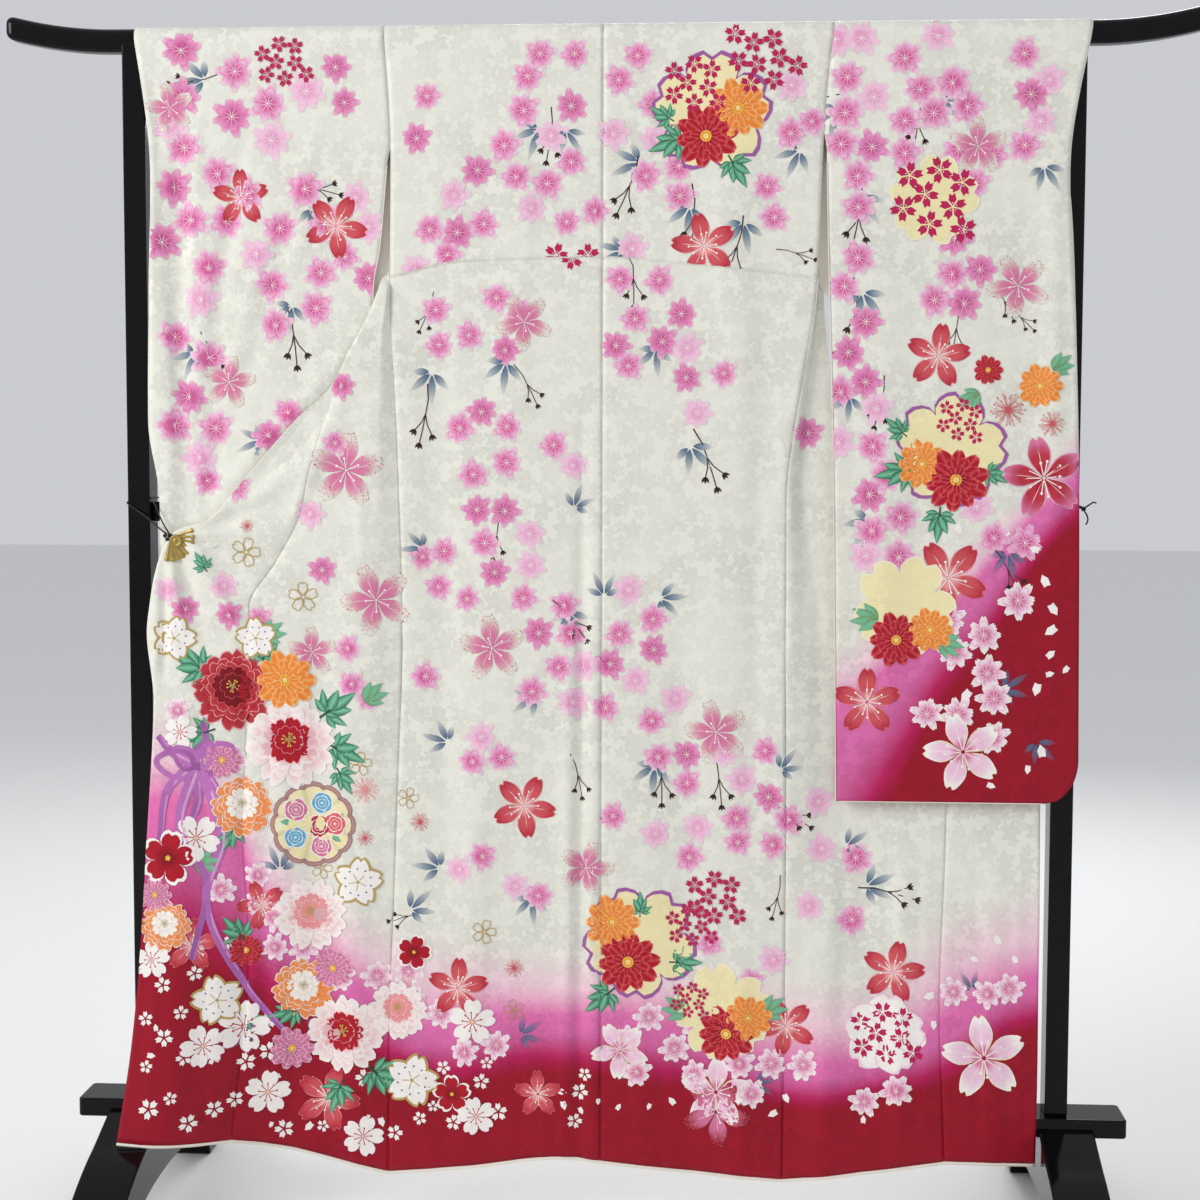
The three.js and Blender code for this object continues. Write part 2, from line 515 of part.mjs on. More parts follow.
// A strip that hangs behind the bar, runs over it and hangs in front of it. `along` goes from 0 to 3.
function overBar(along, rearZ, frontZ) {
  if (along < 1) return { y: OVER_BAR_RADIUS, z: mix(rearZ, OVER_BAR_Z, along) };
  if (along > 2) return { y: -OVER_BAR_RADIUS, z: mix(OVER_BAR_Z, frontZ, along - 2) };
  const turn = Math.PI * (along - 1);
  return {
    y: OVER_BAR_RADIUS * Math.cos(turn),
    z: OVER_BAR_Z + OVER_BAR_RADIUS * Math.sin(turn),
  };
}

const ARC_STEPS = 8;

// Every cloth panel's middle surface, by name, so that trim can follow it.
const surfaces = {};
function panel(name, columns, rows, middle) {
  surfaces[name] = middle;
  return wall(name, SILK, columns, rows, middle);
}

function backPanel(name, sideTable, sign, columns, rows) {
  const side = track(sideTable, 'z', 'x');
  const hem = sideTable[sideTable.length - 1].z;
  return panel(name, columns, rows, (u, v) => {
    const fromCentre = mix(Math.abs(side(SHOULDER_Z) - CENTRE_X), 0, u);
    const neck = ease(NECK_HALF_WIDTH + NECK_CORNER / 2, NECK_HALF_WIDTH - NECK_CORNER, fromCentre);
    const at = overBar(3 * v, mix(SHOULDER_Z, NECK_BACK_Z, neck), hemHeight(mix(side(hem), CENTRE_X, u)));
    const x = mix(side(at.z) - (sign * SEAM_GAP) / 2, CENTRE_X + (sign * SEAM_GAP) / 2, u);
    const inFront = v > 0.5 ? ease(OVER_BAR_Z, OVER_BAR_Z - NECK_CORNER, at.z) : 0;
    const inside = ease(0, CALM_EDGE, u) * ease(1, 1 - CALM_EDGE, u);
    const hang = bodyDepth(at.z) - FRONT_Y - inside * relief(BODY_FOLDS, x, at.z);
    return new THREE.Vector3(x, at.y + inFront * hang, at.z);
  });
}

function sleeve(name, shape, sign, folds, columns, rows) {
  const sewn = track(shape.sewn, 'z', 'x');
  const inner = track(shape.inner, 'z', 'x');
  const outer = { front: track(shape.outer, 'z', 'x'), rear: track(shape.rearOuter, 'z', 'x') };
  return panel(name, columns, rows, (u, v) => {
    const at = overBar(3 * v, shape.bottom, shape.bottom);
    const layer = v > 0.5 ? 'front' : 'rear';
    const free = ease(shape.armEnd, shape.armEnd - ARM_TAPER, at.z);
    const from = mix(sewn(at.z) + (sign * SEAM_GAP) / 2, inner(at.z), free);
    const low = THREE.MathUtils.clamp((shape.cornerTop - at.z) / (shape.cornerTop - shape.bottom), 0, 1);
    const rounded = shape.cornerWidth * (1 - Math.sqrt(1 - low * low));
    const x = mix(from, outer[layer](at.z) - sign * rounded, u);
    const edge = ease(SLEEVE_EDGE_RAMP.inner, SLEEVE_EDGE_RAMP.outer, Math.abs(x));
    const closed = Math.max(edge, ease(shape.bottom + SLEEVE_CLOSE, shape.bottom, at.z));
    const raised = relief(folds, x, at.z) * ease(SLEEVE_REAR_RAMP.top, SLEEVE_REAR_RAMP.bottom, at.z);
    if (layer === 'rear') {
      const hung = ease(SLEEVE_REAR_RAMP.top, SLEEVE_REAR_RAMP.bottom, at.z);
      const low = mix(SLEEVE_REAR_Y, SLEEVE_EDGE_REAR_Y, closed) - edge * raised;
      return new THREE.Vector3(x, mix(at.y, low, hung), at.z);
    }
    const hung = ease(OVER_BAR_Z, SLEEVE_REAR_RAMP.bottom, at.z);
    const front = mix(FRONT_Y, SLEEVE_EDGE_FRONT_Y, closed) - raised;
    return new THREE.Vector3(x, mix(at.y, front, hung), at.z);
  });
}

const TURN_SPAN = 0.06;
// A panel between the two edges of a table. It faces -Y after the row `turned`, takes `plain` of its width
// to leave the seam, and is moved `forward` towards -Y. Below its seams' tops it follows them, and where
// a sleeve is sewn on it follows the armhole.
function openPanel(name, table, { turned, plain, forward, seam, edge }, columns, rows) {
  const keys = ['seamX', 'seamY', 'seamZ', 'edgeX', 'edgeY', 'edgeZ'];
  const read = Object.fromEntries(keys.map((key) => [key, track(table, 'at', key)]));
  const follow = (line, z, x) => {
    if (line && z < line.below) return line.at(z) + line.gap;
    if (line && line.above && z > line.above) return line.at(z) + line.armholeGap;
    return x;
  };
  return panel(name, columns, rows, (u, v) => {
    const seamX = follow(seam, read.seamZ(v), read.seamX(v));
    const edgeX = follow(edge, read.edgeZ(v), read.edgeX(v));
    const x = mix(seamX, edgeX, u);
    const z = mix(read.seamZ(v), read.edgeZ(v), u);
    const facing = turned === 0 ? 1 : ease(turned, turned + TURN_SPAN, v);
    const across = mix(u, plain === 0 ? 1 : ease(0, plain, u), facing);
    const y = mix(read.seamY(v), read.edgeY(v), across);
    const raised = relief(OPEN_FRONT_FOLDS, x, z) + forward(x, z);
    return new THREE.Vector3(x, y - raised * facing * across, z);
  });
}

function collarBand(name) {
  const keys = ['x', 'y', 'z', 'sideX', 'sideY', 'sideZ', 'width'];
  const table = COLLAR.map((row, i) => ({ ...row, at: i }));
  const read = Object.fromEntries(keys.map((key) => [key, track(table, 'at', key)]));
  const centre = (at) => new THREE.Vector3(read.x(at), read.y(at), read.z(at));
  const last = table.length - 1;
  const stops = [0, ...stretch(0, last, 2 * last)];
  const step = 0.02;
  const rings = stops.map((at) => {
    const along = centre(Math.min(at + step, last)).sub(centre(Math.max(at - step, 0))).normalize();
    const side = new THREE.Vector3(read.sideX(at), read.sideY(at), read.sideZ(at));
    side.addScaledVector(along, -side.dot(along)).normalize();
    const face = along.clone().cross(side);
    const half = read.width(at) / 2;
    const thick = COLLAR_THICKNESS / 2;
    const section = [[half, thick / 2], [half - thick, thick], [thick - half, thick], [-half, thick / 2]];
    const whole = [...section, ...section.map(([a, b]) => [-a, -b])];
    return whole.map(([a, b]) => centre(at).addScaledVector(side, a).addScaledVector(face, b));
  });
  return loft(name, SILK, rings);
}

function hemRoll(name) {
  const order = [
    { panel: 'okumi_left', from: 1, to: 0 },
    { panel: 'front_left', from: 1, to: 0 },
    { panel: 'back_left', from: 0, to: 1 },
    { panel: 'back_right', from: 1, to: 0 },
    { panel: 'front_right', from: 0, to: 1 },
    { panel: 'okumi_right', from: 0, to: 1 },
  ];
  const pieces = 10;
  const below = SEAM_GAP + HEM_ROLL_RADIUS;
  const points = order.flatMap(({ panel: piece, from, to }) => {
    const stops = Array.from({ length: pieces }, (_, i) => mix(from, to, i / pieces));
    return stops.map((u) => surfaces[piece](u, 1).addScaledVector(up, -below));
  });
  points.push(surfaces.okumi_right(1, 1).addScaledVector(up, -below));
  return tube(name, LINING, points, HEM_ROLL_RADIUS, 1);
}

// ---- Stand pieces

// An outline in the Y-Z plane, drawn out along X with chamfered ends.
function drawn(name, outline, fromX, width, chamfer) {
  const shape = new THREE.Shape(outline.map(([y, z]) => new THREE.Vector2(y, z)));
  const geometry = new THREE.ExtrudeGeometry(shape, {
    depth: width - 2 * chamfer,
    bevelEnabled: true,
    bevelThickness: chamfer,
    bevelSize: chamfer,
    bevelOffset: -chamfer,
    bevelSegments: 1,
    curveSegments: 12,
  });
  const turn = new THREE.Matrix4().makeBasis(new THREE.Vector3(0, 1, 0), up, new THREE.Vector3(1, 0, 0));
  geometry.applyMatrix4(turn);
  geometry.translate(fromX + chamfer, 0, 0);
  const mesh = new THREE.Mesh(geometry, LACQUER);
  mesh.name = name;
  return mesh;
}

function bar(name) {
  const round = BAR_DEPTH / 2;
  const low = BAR_HEIGHT - round;
  const section = Array.from({ length: 9 }, (_, i) => {
    const turn = (Math.PI * i) / 8;
    return [round * Math.cos(turn), round * Math.sin(turn)];
  });
  const soft = 5;
  section.push([-round, soft - low], [soft - round, -low], [round - soft, -low], [round, soft - low]);
  const centre = BAR_TOP - BAR_HEIGHT / 2;
  const lift = round - BAR_HEIGHT / 2;
  const ring = (x, scale) => {
    const past = Math.max(Math.abs(x) - BAR_RISE_START, 0) / (BAR_HALF_LENGTH - BAR_RISE_START);
    const rise = BAR_RISE * past ** 2;
    const place = ([y, z]) => new THREE.Vector3(x, scale * y, centre + rise + scale * (z - lift));
    return section.map(place);
  };
  const end = BAR_HALF_LENGTH;
  const tip = BAR_TIP_LENGTH;
  const left = [
    ring(-end, BAR_TIP_SCALE),
    ring(tip / 4 - end, (1 + BAR_TIP_SCALE) / 2),
    ring(tip - end, 1),
    ...stretch(tip - end, -BAR_RISE_START, 6).map((x) => ring(x, 1)),
  ];
  const right = [
    ...[BAR_RISE_START, ...stretch(BAR_RISE_START, end - tip, 6)].map((x) => ring(x, 1)),
    ring(end - tip / 4, (1 + BAR_TIP_SCALE) / 2),
    ring(end, BAR_TIP_SCALE),
  ];
  return loft(name, LACQUER, [...left, ...right]);
}

function post(name, sign) {
  const face = POST_DEPTH / 2;
  const slot = BAR_DEPTH / 2 + JOINT_GAP;
  const slotFloor = BAR_TOP - BAR_HEIGHT - JOINT_GAP;
  const foot = BLOCK_TOP + JOINT_GAP;
  const outline = [
    [-face, foot],
    [face, foot],
    [face, POST_TOP],
    [slot, POST_TOP],
    [slot, slotFloor],
    [-slot, slotFloor],
    [-slot, POST_TOP],
    [-face, POST_TOP],
  ];
  const fromX = sign > 0 ? POST_INNER : -POST_INNER - POST_WIDTH;
  return drawn(name, outline, fromX, POST_WIDTH, POST_CHAMFER);
}

function rail(name) {
  const length = 2 * (POST_INNER - JOINT_GAP);
  const mesh = new THREE.Mesh(new THREE.BoxGeometry(length, RAIL_DEPTH, RAIL_HEIGHT), LACQUER);
  mesh.position.z = RAIL_MIDDLE;
  mesh.name = name;
  return mesh;
}

function block(name, sign) {
  const half = { x: (BLOCK_OUTER - BLOCK_INNER) / 2, y: BLOCK_DEPTH / 2 };
  const shape = new THREE.Shape();
  const inset = { x: half.x - BLOCK_CORNER, y: half.y - BLOCK_CORNER };
  shape.absarc(inset.x, inset.y, BLOCK_CORNER, 0, Math.PI / 2);
  shape.absarc(-inset.x, inset.y, BLOCK_CORNER, Math.PI / 2, Math.PI);
  shape.absarc(-inset.x, -inset.y, BLOCK_CORNER, Math.PI, 1.5 * Math.PI);
  shape.absarc(inset.x, -inset.y, BLOCK_CORNER, 1.5 * Math.PI, 2 * Math.PI);
  const depth = BLOCK_TOP - BLOCK_BOTTOM;
  const geometry = new THREE.ExtrudeGeometry(shape, { depth, bevelEnabled: false, curveSegments: 5 });
  const mesh = new THREE.Mesh(geometry, LACQUER);
  mesh.position.set(sign * (BLOCK_INNER + half.x), 0, BLOCK_BOTTOM);
  mesh.name = name;
  return mesh;
}

// The foot is an arch: its top starts under the block, and each leg sweeps out and down to a flat pad.
const FOOT_TOP = [
  { y: 37.3, z: 163 },
  { y: 60, z: 155 },
  { y: 85, z: 146 },
  { y: 118, z: 134 },
  { y: 150, z: 124 },
  { y: 190, z: 108 },
  { y: 222, z: 92 },
  { y: 252, z: 70 },
  { y: 275, z: 44 },
  { y: 290, z: 16 },
  { y: 296, z: 0 },
];
const FOOT_UNDER = [
  { y: 238, z: 0 },
  { y: 228, z: 18 },
  { y: 205, z: 36 },
  { y: 165, z: 52 },
  { y: 115, z: 62 },
  { y: 60, z: 68 },
  { y: 0, z: 70 },
];
function foot(name, sign) {
  const seat = { y: BLOCK_DEPTH / 2 + JOINT_GAP, z: BLOCK_BOTTOM - JOINT_GAP };
  const outer = [{ y: seat.y, z: seat.z }, ...FOOT_TOP, ...FOOT_UNDER];
  const mirrored = [...outer].reverse().filter((point) => point.y > 0);
  const outline = [...outer.map(({ y, z }) => [y, z]), ...mirrored.map(({ y, z }) => [-y, z])];
  const fromX = sign > 0 ? FOOT_INNER : -FOOT_INNER - FOOT_WIDTH;
  return drawn(name, outline, fromX, FOOT_WIDTH, POST_CHAMFER);
}

// ---- Fan clip, cord and knots

function fan(name) {
  const columns = [0, ...stretch(0, 1, 4 * FAN_RIBS)];
  const rows = [0, 0.35, 1];
  const middle = (u, v) => {
    const turn = deg(FAN.from + FAN.sweep * u);
    const reach = mix(FAN.root, FAN.radius, v);
    const flute = FAN_FLUTE * v * Math.cos(2 * Math.PI * FAN_RIBS * u);
    return new THREE.Vector3(FAN.x + reach * Math.cos(turn), FAN.y + flute, FAN.z + reach * Math.sin(turn));
  };
  return wall(name, BRASS, columns, rows, middle, FAN_THICKNESS);
}

function hub(name) {
  const { radius, depth, flare, sides } = FAN_HUB;
  const mesh = new THREE.Mesh(new THREE.CylinderGeometry(radius, radius + flare, depth, sides), BRASS);
  const seat = FAN.y - FAN_THICKNESS / 2 - FAN_FLUTE / 2;
  mesh.position.set(FAN_HUB.x, seat - JOINT_GAP - depth / 2, FAN_HUB.z);
  mesh.name = name;
  return mesh;
}

function ball(name, radius, centre) {
  const mesh = new THREE.Mesh(new THREE.IcosahedronGeometry(radius, 1), BLACK_CORD);
  mesh.position.copy(centre);
  mesh.name = name;
  return mesh;
}

// A place just off a knot, in a direction given by its three parts.
function offKnot(knot, distance, x, y, z) {
  return new THREE.Vector3(x, y, z).setLength(distance).add(knot);
}

const points = (rows) => rows.map(([x, y, z]) => new THREE.Vector3(x, y, z));
const CORD_SEAT = KNOT_RADIUS + JOINT_GAP / 2;
const BALL_SEAT = KNOT_RADIUS + BALL_RADIUS;
const CORD_LEFT = [
  offKnot(KNOT_LEFT, CORD_SEAT, -0.35, 0.3, 0.9),
  ...points([
    [-615.4, -36.2, 1010], [-620, -36, 1018], [-626, -34.5, 1030], [-633, -30.4, 1044], [-639, -25.5, 1051],
    [-640.8, -18, 1053], [-641, 0, 1053.5], [-641, 17, 1053.5], [-644.5, 23.6, 1053], [-659, 24.4, 1052],
    [-673, 23.8, 1051], [-676.9, 18, 1050], [-677, 0, 1049], [-676.8, -18, 1047], [-673.5, -24.2, 1045],
    [-661, -28, 1037], [-644, -33.5, 1026], [-630, -37, 1015], [-620, -38.6, 1007],
  ]),
  offKnot(KNOT_LEFT, CORD_SEAT, -0.85, -0.1, 0.5),
];
const CORD_RIGHT = [
  offKnot(KNOT_RIGHT, CORD_SEAT, -0.6, -0.6, 0.5),
  ...points([
    [678, -18, 1047], [676.2, -20.8, 1047.6], [672, -23.3, 1048], [659, -23.5, 1049], [646, -23.4, 1050],
    [641.3, -19, 1051], [641, 0, 1051.5], [641.3, 19, 1051], [646, 23.8, 1050], [659, 24.4, 1049],
    [672, 23.8, 1048], [676.9, 19, 1047], [677, 2, 1046], [678.4, -6, 1045],
  ]),
  offKnot(KNOT_RIGHT, CORD_SEAT, -0.45, 0.85, 0.2),
];
const CORD_END_UPPER = [
  offKnot(KNOT_RIGHT, CORD_SEAT, 0.7, -0.4, 0.6),
  ...points([[687.6, -17, 1048], [691, -19, 1050.6], [695, -20, 1053], [699, -21, 1052]]),
];
const CORD_END_LOWER = [
  offKnot(KNOT_RIGHT, CORD_SEAT, 0.3, -0.5, -0.8),
  ...points([[685.6, -18, 1036.6], [687, -20, 1033], [687, -22, 1027], [684.5, -23, 1022]]),
];

const BODY_COLUMNS = [0, 0.12, 0.24, 0.36, 0.48, 0.6, 0.7, 0.78, 0.86, 0.9, 0.94, 1];
const SLEEVE_COLUMNS = [0, 0.2, 0.4, 0.56, 0.7, 0.78, 0.86, 0.93, 1];
const FRONT_COLUMNS = [0, 0.08, 0.16, 0.24, 0.36, 0.5, 0.64, 0.78, 0.9, 1];
const OKUMI_COLUMNS = [0, 0.14, 0.3, 0.46, 0.62, 0.8, 1];
const CORNER_STOPS = [0, 4, 12, 26, 45, 80];
const CUFF_STOPS = [1430, 1478, 1504, 1530, 1562, 1600, 1645, SHOULDER_Z, OVER_BAR_Z];

// Rows of a sleeve: close together round the lower corner and past the post, on both layers.
function sleeveRows(shape) {
  const corner = CORNER_STOPS.map((height) => shape.bottom + height);
  const plain = stretch(corner[corner.length - 1], CUFF_STOPS[0], 9);
  const heights = [...corner, ...plain, ...CUFF_STOPS.slice(1)];
  const rise = heights.map((z) => (z - shape.bottom) / (OVER_BAR_Z - shape.bottom));
  const fall = [...rise].reverse().slice(1).map((along) => 3 - along);
  return [...rise, ...stretch(1, 2, ARC_STEPS), ...fall].map((along) => along / 3);
}
const FRONT_ROWS = [0, ...stretch(0, 0.24, 5), ...stretch(0.24, 0.4, 9), ...stretch(0.4, 1, 18)];
const SEAM_START = 0.31;
const SEAM_TOP = 1390;

// Where a line that only falls reaches a height.
function reach(line, height) {
  let low = 0;
  let high = 1;
  for (let i = 0; i < 40; i += 1) {
    const middle = (low + high) / 2;
    if (line(middle) > height) low = middle;
    else high = middle;
  }
  return (low + high) / 2;
}

// Rows of a back panel, with its seam points level with those of the sleeve and of the front.
function backRows(sideTable, frontTable) {
  const seam = track(frontTable, 'at', 'seamZ');
  const side = track(sideTable, 'z', 'x');
  const hem = hemHeight(side(sideTable[sideTable.length - 1].z));
  const beside = [...CUFF_STOPS].reverse().slice(1).filter((z) => z !== SHOULDER_Z);
  const below = FRONT_ROWS.filter((v) => v > SEAM_START && v < 1).map(seam);
  const fall = [...beside, SEAM_TOP, ...below, hem].map((z) => (OVER_BAR_Z - z) / (OVER_BAR_Z - hem));
  return [0, 1, ...stretch(1, 2, ARC_STEPS), ...fall.map((share) => 2 + share)].map((along) => along / 3);
}

// Rows of an okumi, level with those of its front panel along their seam.
function okumiRows(table, frontTable) {
  const seam = track(table, 'at', 'seamZ');
  const edge = track(frontTable, 'at', 'edgeZ');
  const top = table[0].seamZ;
  const levels = FRONT_ROWS.filter((v) => v < 1 && edge(v) < top).map(edge);
  return [0, ...levels.map((height) => reach(seam, height)), 1];
}

const bodySide = { left: track(BODY_SIDE_LEFT, 'z', 'x'), right: track(BODY_SIDE_RIGHT, 'z', 'x') };
const okumiSeam = { left: track(OKUMI_SEAM_LEFT, 'z', 'x'), right: track(OKUMI_SEAM_RIGHT, 'z', 'x') };
const drop = { left: forwardPush, right: (x, z) => rightFrontDepth(z) };
const LEFT_FRONT = {
  turned: 0.28,
  plain: 0.22,
  forward: drop.left,
  seam: { at: bodySide.left, below: 1358, gap: -SEAM_GAP, above: 1540, armholeGap: ARMHOLE_GAP },
  edge: { at: okumiSeam.left, below: 1207, gap: 0 },
};
const LEFT_OKUMI = {
  turned: 0,
  plain: 0,
  forward: drop.left,
  seam: { at: okumiSeam.left, below: 1207, gap: -SEAM_GAP },
};
const RIGHT_FRONT = {
  turned: 0.28,
  plain: 0.3,
  forward: drop.right,
  seam: { at: bodySide.right, below: 1357, gap: SEAM_GAP, above: 1540, armholeGap: -ARMHOLE_GAP },
  edge: { at: okumiSeam.right, below: 880, gap: 0 },
};
const RIGHT_OKUMI = {
  turned: 0,
  plain: 0,
  forward: drop.right,
  seam: { at: okumiSeam.right, below: 880, gap: SEAM_GAP },
};

const kimono = new THREE.Group();
kimono.add(
  backPanel('back_left', BODY_SIDE_LEFT, -1, BODY_COLUMNS, backRows(BODY_SIDE_LEFT, FRONT_LEFT)),
  backPanel('back_right', BODY_SIDE_RIGHT, 1, BODY_COLUMNS, backRows(BODY_SIDE_RIGHT, FRONT_RIGHT)),
  sleeve('sleeve_left', SLEEVE_LEFT, -1, SLEEVE_LEFT_FOLDS, SLEEVE_COLUMNS, sleeveRows(SLEEVE_LEFT)),
  sleeve('sleeve_right', SLEEVE_RIGHT, 1, SLEEVE_RIGHT_FOLDS, SLEEVE_COLUMNS, sleeveRows(SLEEVE_RIGHT)),
  openPanel('front_left', FRONT_LEFT, LEFT_FRONT, FRONT_COLUMNS, FRONT_ROWS),
  openPanel('okumi_left', OKUMI_LEFT, LEFT_OKUMI, OKUMI_COLUMNS, okumiRows(OKUMI_LEFT, FRONT_LEFT)),
  openPanel('front_right', FRONT_RIGHT, RIGHT_FRONT, FRONT_COLUMNS, FRONT_ROWS),
  openPanel('okumi_right', OKUMI_RIGHT, RIGHT_OKUMI, OKUMI_COLUMNS, okumiRows(OKUMI_RIGHT, FRONT_RIGHT)),
  collarBand('collar'),
  hemRoll('hem_roll'),
);

const stand = new THREE.Group();
stand.add(
  bar('bar'),
  post('post_left', -1),
  post('post_right', 1),
  rail('rail'),
  block('block_left', -1),
  block('block_right', 1),
  foot('foot_left', -1),
  foot('foot_right', 1),
);

const clip = new THREE.Group();
clip.add(
  fan('fan_clip'),
  hub('fan_hub'),
  tube('cord_left', BLACK_CORD, CORD_LEFT, CORD_RADIUS, 2),
  ball('knot_left', KNOT_RADIUS, KNOT_LEFT),
  ball('ball_upper', BALL_RADIUS, offKnot(KNOT_LEFT, BALL_SEAT, -1, 0, -0.1)),
  ball('ball_lower', BALL_RADIUS, offKnot(KNOT_LEFT, BALL_SEAT, -0.5, -0.35, -1)),
  tube('cord_right', BLACK_CORD, CORD_RIGHT, CORD_RADIUS, 2),
  ball('knot_right', KNOT_RADIUS, KNOT_RIGHT),
  tube('cord_end_upper', BLACK_CORD, CORD_END_UPPER, CORD_RADIUS, 2),
  tube('cord_end_lower', BLACK_CORD, CORD_END_LOWER, CORD_RADIUS, 2),
);

const furisode = new THREE.Group();
furisode.add(kimono, stand, clip);
export default furisode;
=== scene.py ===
"""Looks of a furisode kimono that hangs from the bar of a black lacquered stand.

Lengths in the tables are millimetres in the frame's axes, and MM turns them into Blender's metres.
Places on the print are pixels of the 1200 x 1200 frame, which the camera turns into places on the cloth.
"""
import math
import random

import bmesh
import bpy
import numpy as np
from mathutils import Matrix, Vector
from mathutils.bvhtree import BVHTree


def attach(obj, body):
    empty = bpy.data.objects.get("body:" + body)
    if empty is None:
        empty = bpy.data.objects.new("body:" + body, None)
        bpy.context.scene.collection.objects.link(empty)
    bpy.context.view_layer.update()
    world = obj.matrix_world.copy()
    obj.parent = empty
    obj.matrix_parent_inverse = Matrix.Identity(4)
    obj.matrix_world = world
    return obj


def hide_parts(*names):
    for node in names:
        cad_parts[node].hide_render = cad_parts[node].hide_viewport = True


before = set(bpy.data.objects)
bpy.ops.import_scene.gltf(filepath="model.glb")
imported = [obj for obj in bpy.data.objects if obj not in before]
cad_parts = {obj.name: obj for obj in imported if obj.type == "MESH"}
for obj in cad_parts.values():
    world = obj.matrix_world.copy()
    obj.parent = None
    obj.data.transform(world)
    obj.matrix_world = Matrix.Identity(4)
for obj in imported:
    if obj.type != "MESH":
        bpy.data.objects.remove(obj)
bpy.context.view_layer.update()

MM = 0.001

# ---- Camera
FRAME_PIXELS = 1200
FOCAL_PIXELS = 2070
SENSOR_MM = 36
CAMERA_AT = Vector((184, -2950, 1130))
CAMERA_YAW = math.radians(3.5)
CAMERA_DOWN = math.radians(4.26)
CAMERA_ROLL = math.radians(0.15)


def camera_axes():
    """The camera's right, up and forward directions."""
    ahead = Vector((-math.sin(CAMERA_YAW) * math.cos(CAMERA_DOWN),
                    math.cos(CAMERA_YAW) * math.cos(CAMERA_DOWN),
                    -math.sin(CAMERA_DOWN)))
    right = Vector((math.cos(CAMERA_YAW), math.sin(CAMERA_YAW), 0))
    up = right.cross(ahead)
    turn_cos, turn_sin = math.cos(CAMERA_ROLL), math.sin(CAMERA_ROLL)
    return right * turn_cos + up * turn_sin, up * turn_cos - right * turn_sin, ahead


def make_camera():
    right, up, ahead = camera_axes()
    data = bpy.data.cameras.new("camera")
    data.sensor_fit = "HORIZONTAL"
    data.sensor_width = SENSOR_MM
    data.lens = FOCAL_PIXELS / FRAME_PIXELS * SENSOR_MM
    camera = bpy.data.objects.new("camera", data)
    turn = Matrix((right, up, -ahead)).transposed()
    camera.matrix_world = Matrix.Translation(CAMERA_AT * MM) @ turn.to_4x4()
    bpy.context.collection.objects.link(camera)
    bpy.context.scene.camera = camera


make_camera()
bpy.context.scene.view_settings.view_transform = "Standard"

# ---- Sums on arrays


def ease(start, end, at):
    """Zero before start, one after end, and an even S between them, in either direction."""
    t = np.clip((np.asarray(at, float) - start) / (end - start), 0, 1)
    return t * t * (3 - 2 * t)


def mix(a, b, t):
    return a + (b - a) * t


def table(columns, *rows):
    """Named columns of a table, as arrays."""
    return {name: np.array([row[i] for row in rows], float) for i, name in enumerate(columns.split())}


def track(rows, by, column):
    """A smooth line through one column of a table, read by another that only rises or only falls."""
    at, value = rows[by], rows[column]
    if at[0] > at[-1]:
        at, value = at[::-1], value[::-1]
    rate = np.diff(value) / np.diff(at)
    slope = np.concatenate([rate[:1], np.zeros(len(at) - 2), rate[-1:]])
    before, after = rate[:-1], rate[1:]
    same = before * after > 0
    slope[1:-1][same] = (2 * before * after)[same] / (before + after)[same]

    def read(x):
        x = np.asarray(x, float)
        i = np.clip(np.searchsorted(at, x, side="right") - 1, 0, len(at) - 2)
        width = at[i + 1] - at[i]
        t = np.clip((x - at[i]) / width, 0, 1)
        rest = 1 - t
        start = rest * rest * ((1 + 2 * t) * value[i] + t * width * slope[i])
        return start + t * t * ((3 - 2 * t) * value[i + 1] - rest * width * slope[i + 1])

    return read


# ---- Forms of the kimono, as in its solids
CLOTH = 0.9
CENTRE_X = 8
FRONT_Y = -26
OVER_BAR_RADIUS = 26
OVER_BAR_Z = 1694
SHOULDER_Z = 1662
NECK_BACK_Z = 1689
NECK_HALF_WIDTH = 88
NECK_CORNER = 26
HEM_DRIFT = 4
HEM_DRIFT_HEIGHTS = (1300, 100)
HEM_ROLL_RADIUS = 2.2
SLEEVE_REAR_Y = -16
SLEEVE_EDGE_FRONT_Y = -27.2
SLEEVE_EDGE_REAR_Y = -25.6
RAMP_TOP = 1640
RAMP_BOTTOM = 1504
SLEEVE_CLOSE = 70
ARM_TAPER = 25

BODY_SIDE_LEFT = table(
    "z x", (1720, -301), (1551, -291.5), (1358, -293), (1130, -284), (910, -278), (504, -290), (313, -298),
    (70, -302))
BODY_SIDE_RIGHT = table(
    "z x", (1720, 328), (1568, 315), (1357, 308), (1200, 285), (1055, 268), (700, 269), (339, 271), (75, 270))
HEM = table("x z", (-302, 76), (-180, 88), (-46, 104), (0, 100), (130, 88), (270, 78))
OKUMI_SEAM_LEFT = table(
    "z x", (1207, -377), (1155, -391), (1095, -408), (1028, -424), (958, -462), (900, -497), (845, -496),
    (745, -502), (578, -509), (412, -500), (131, -522))
OKUMI_SEAM_RIGHT = table("z x", (880, 466), (730, 490), (628, 499), (345, 491), (114, 500))

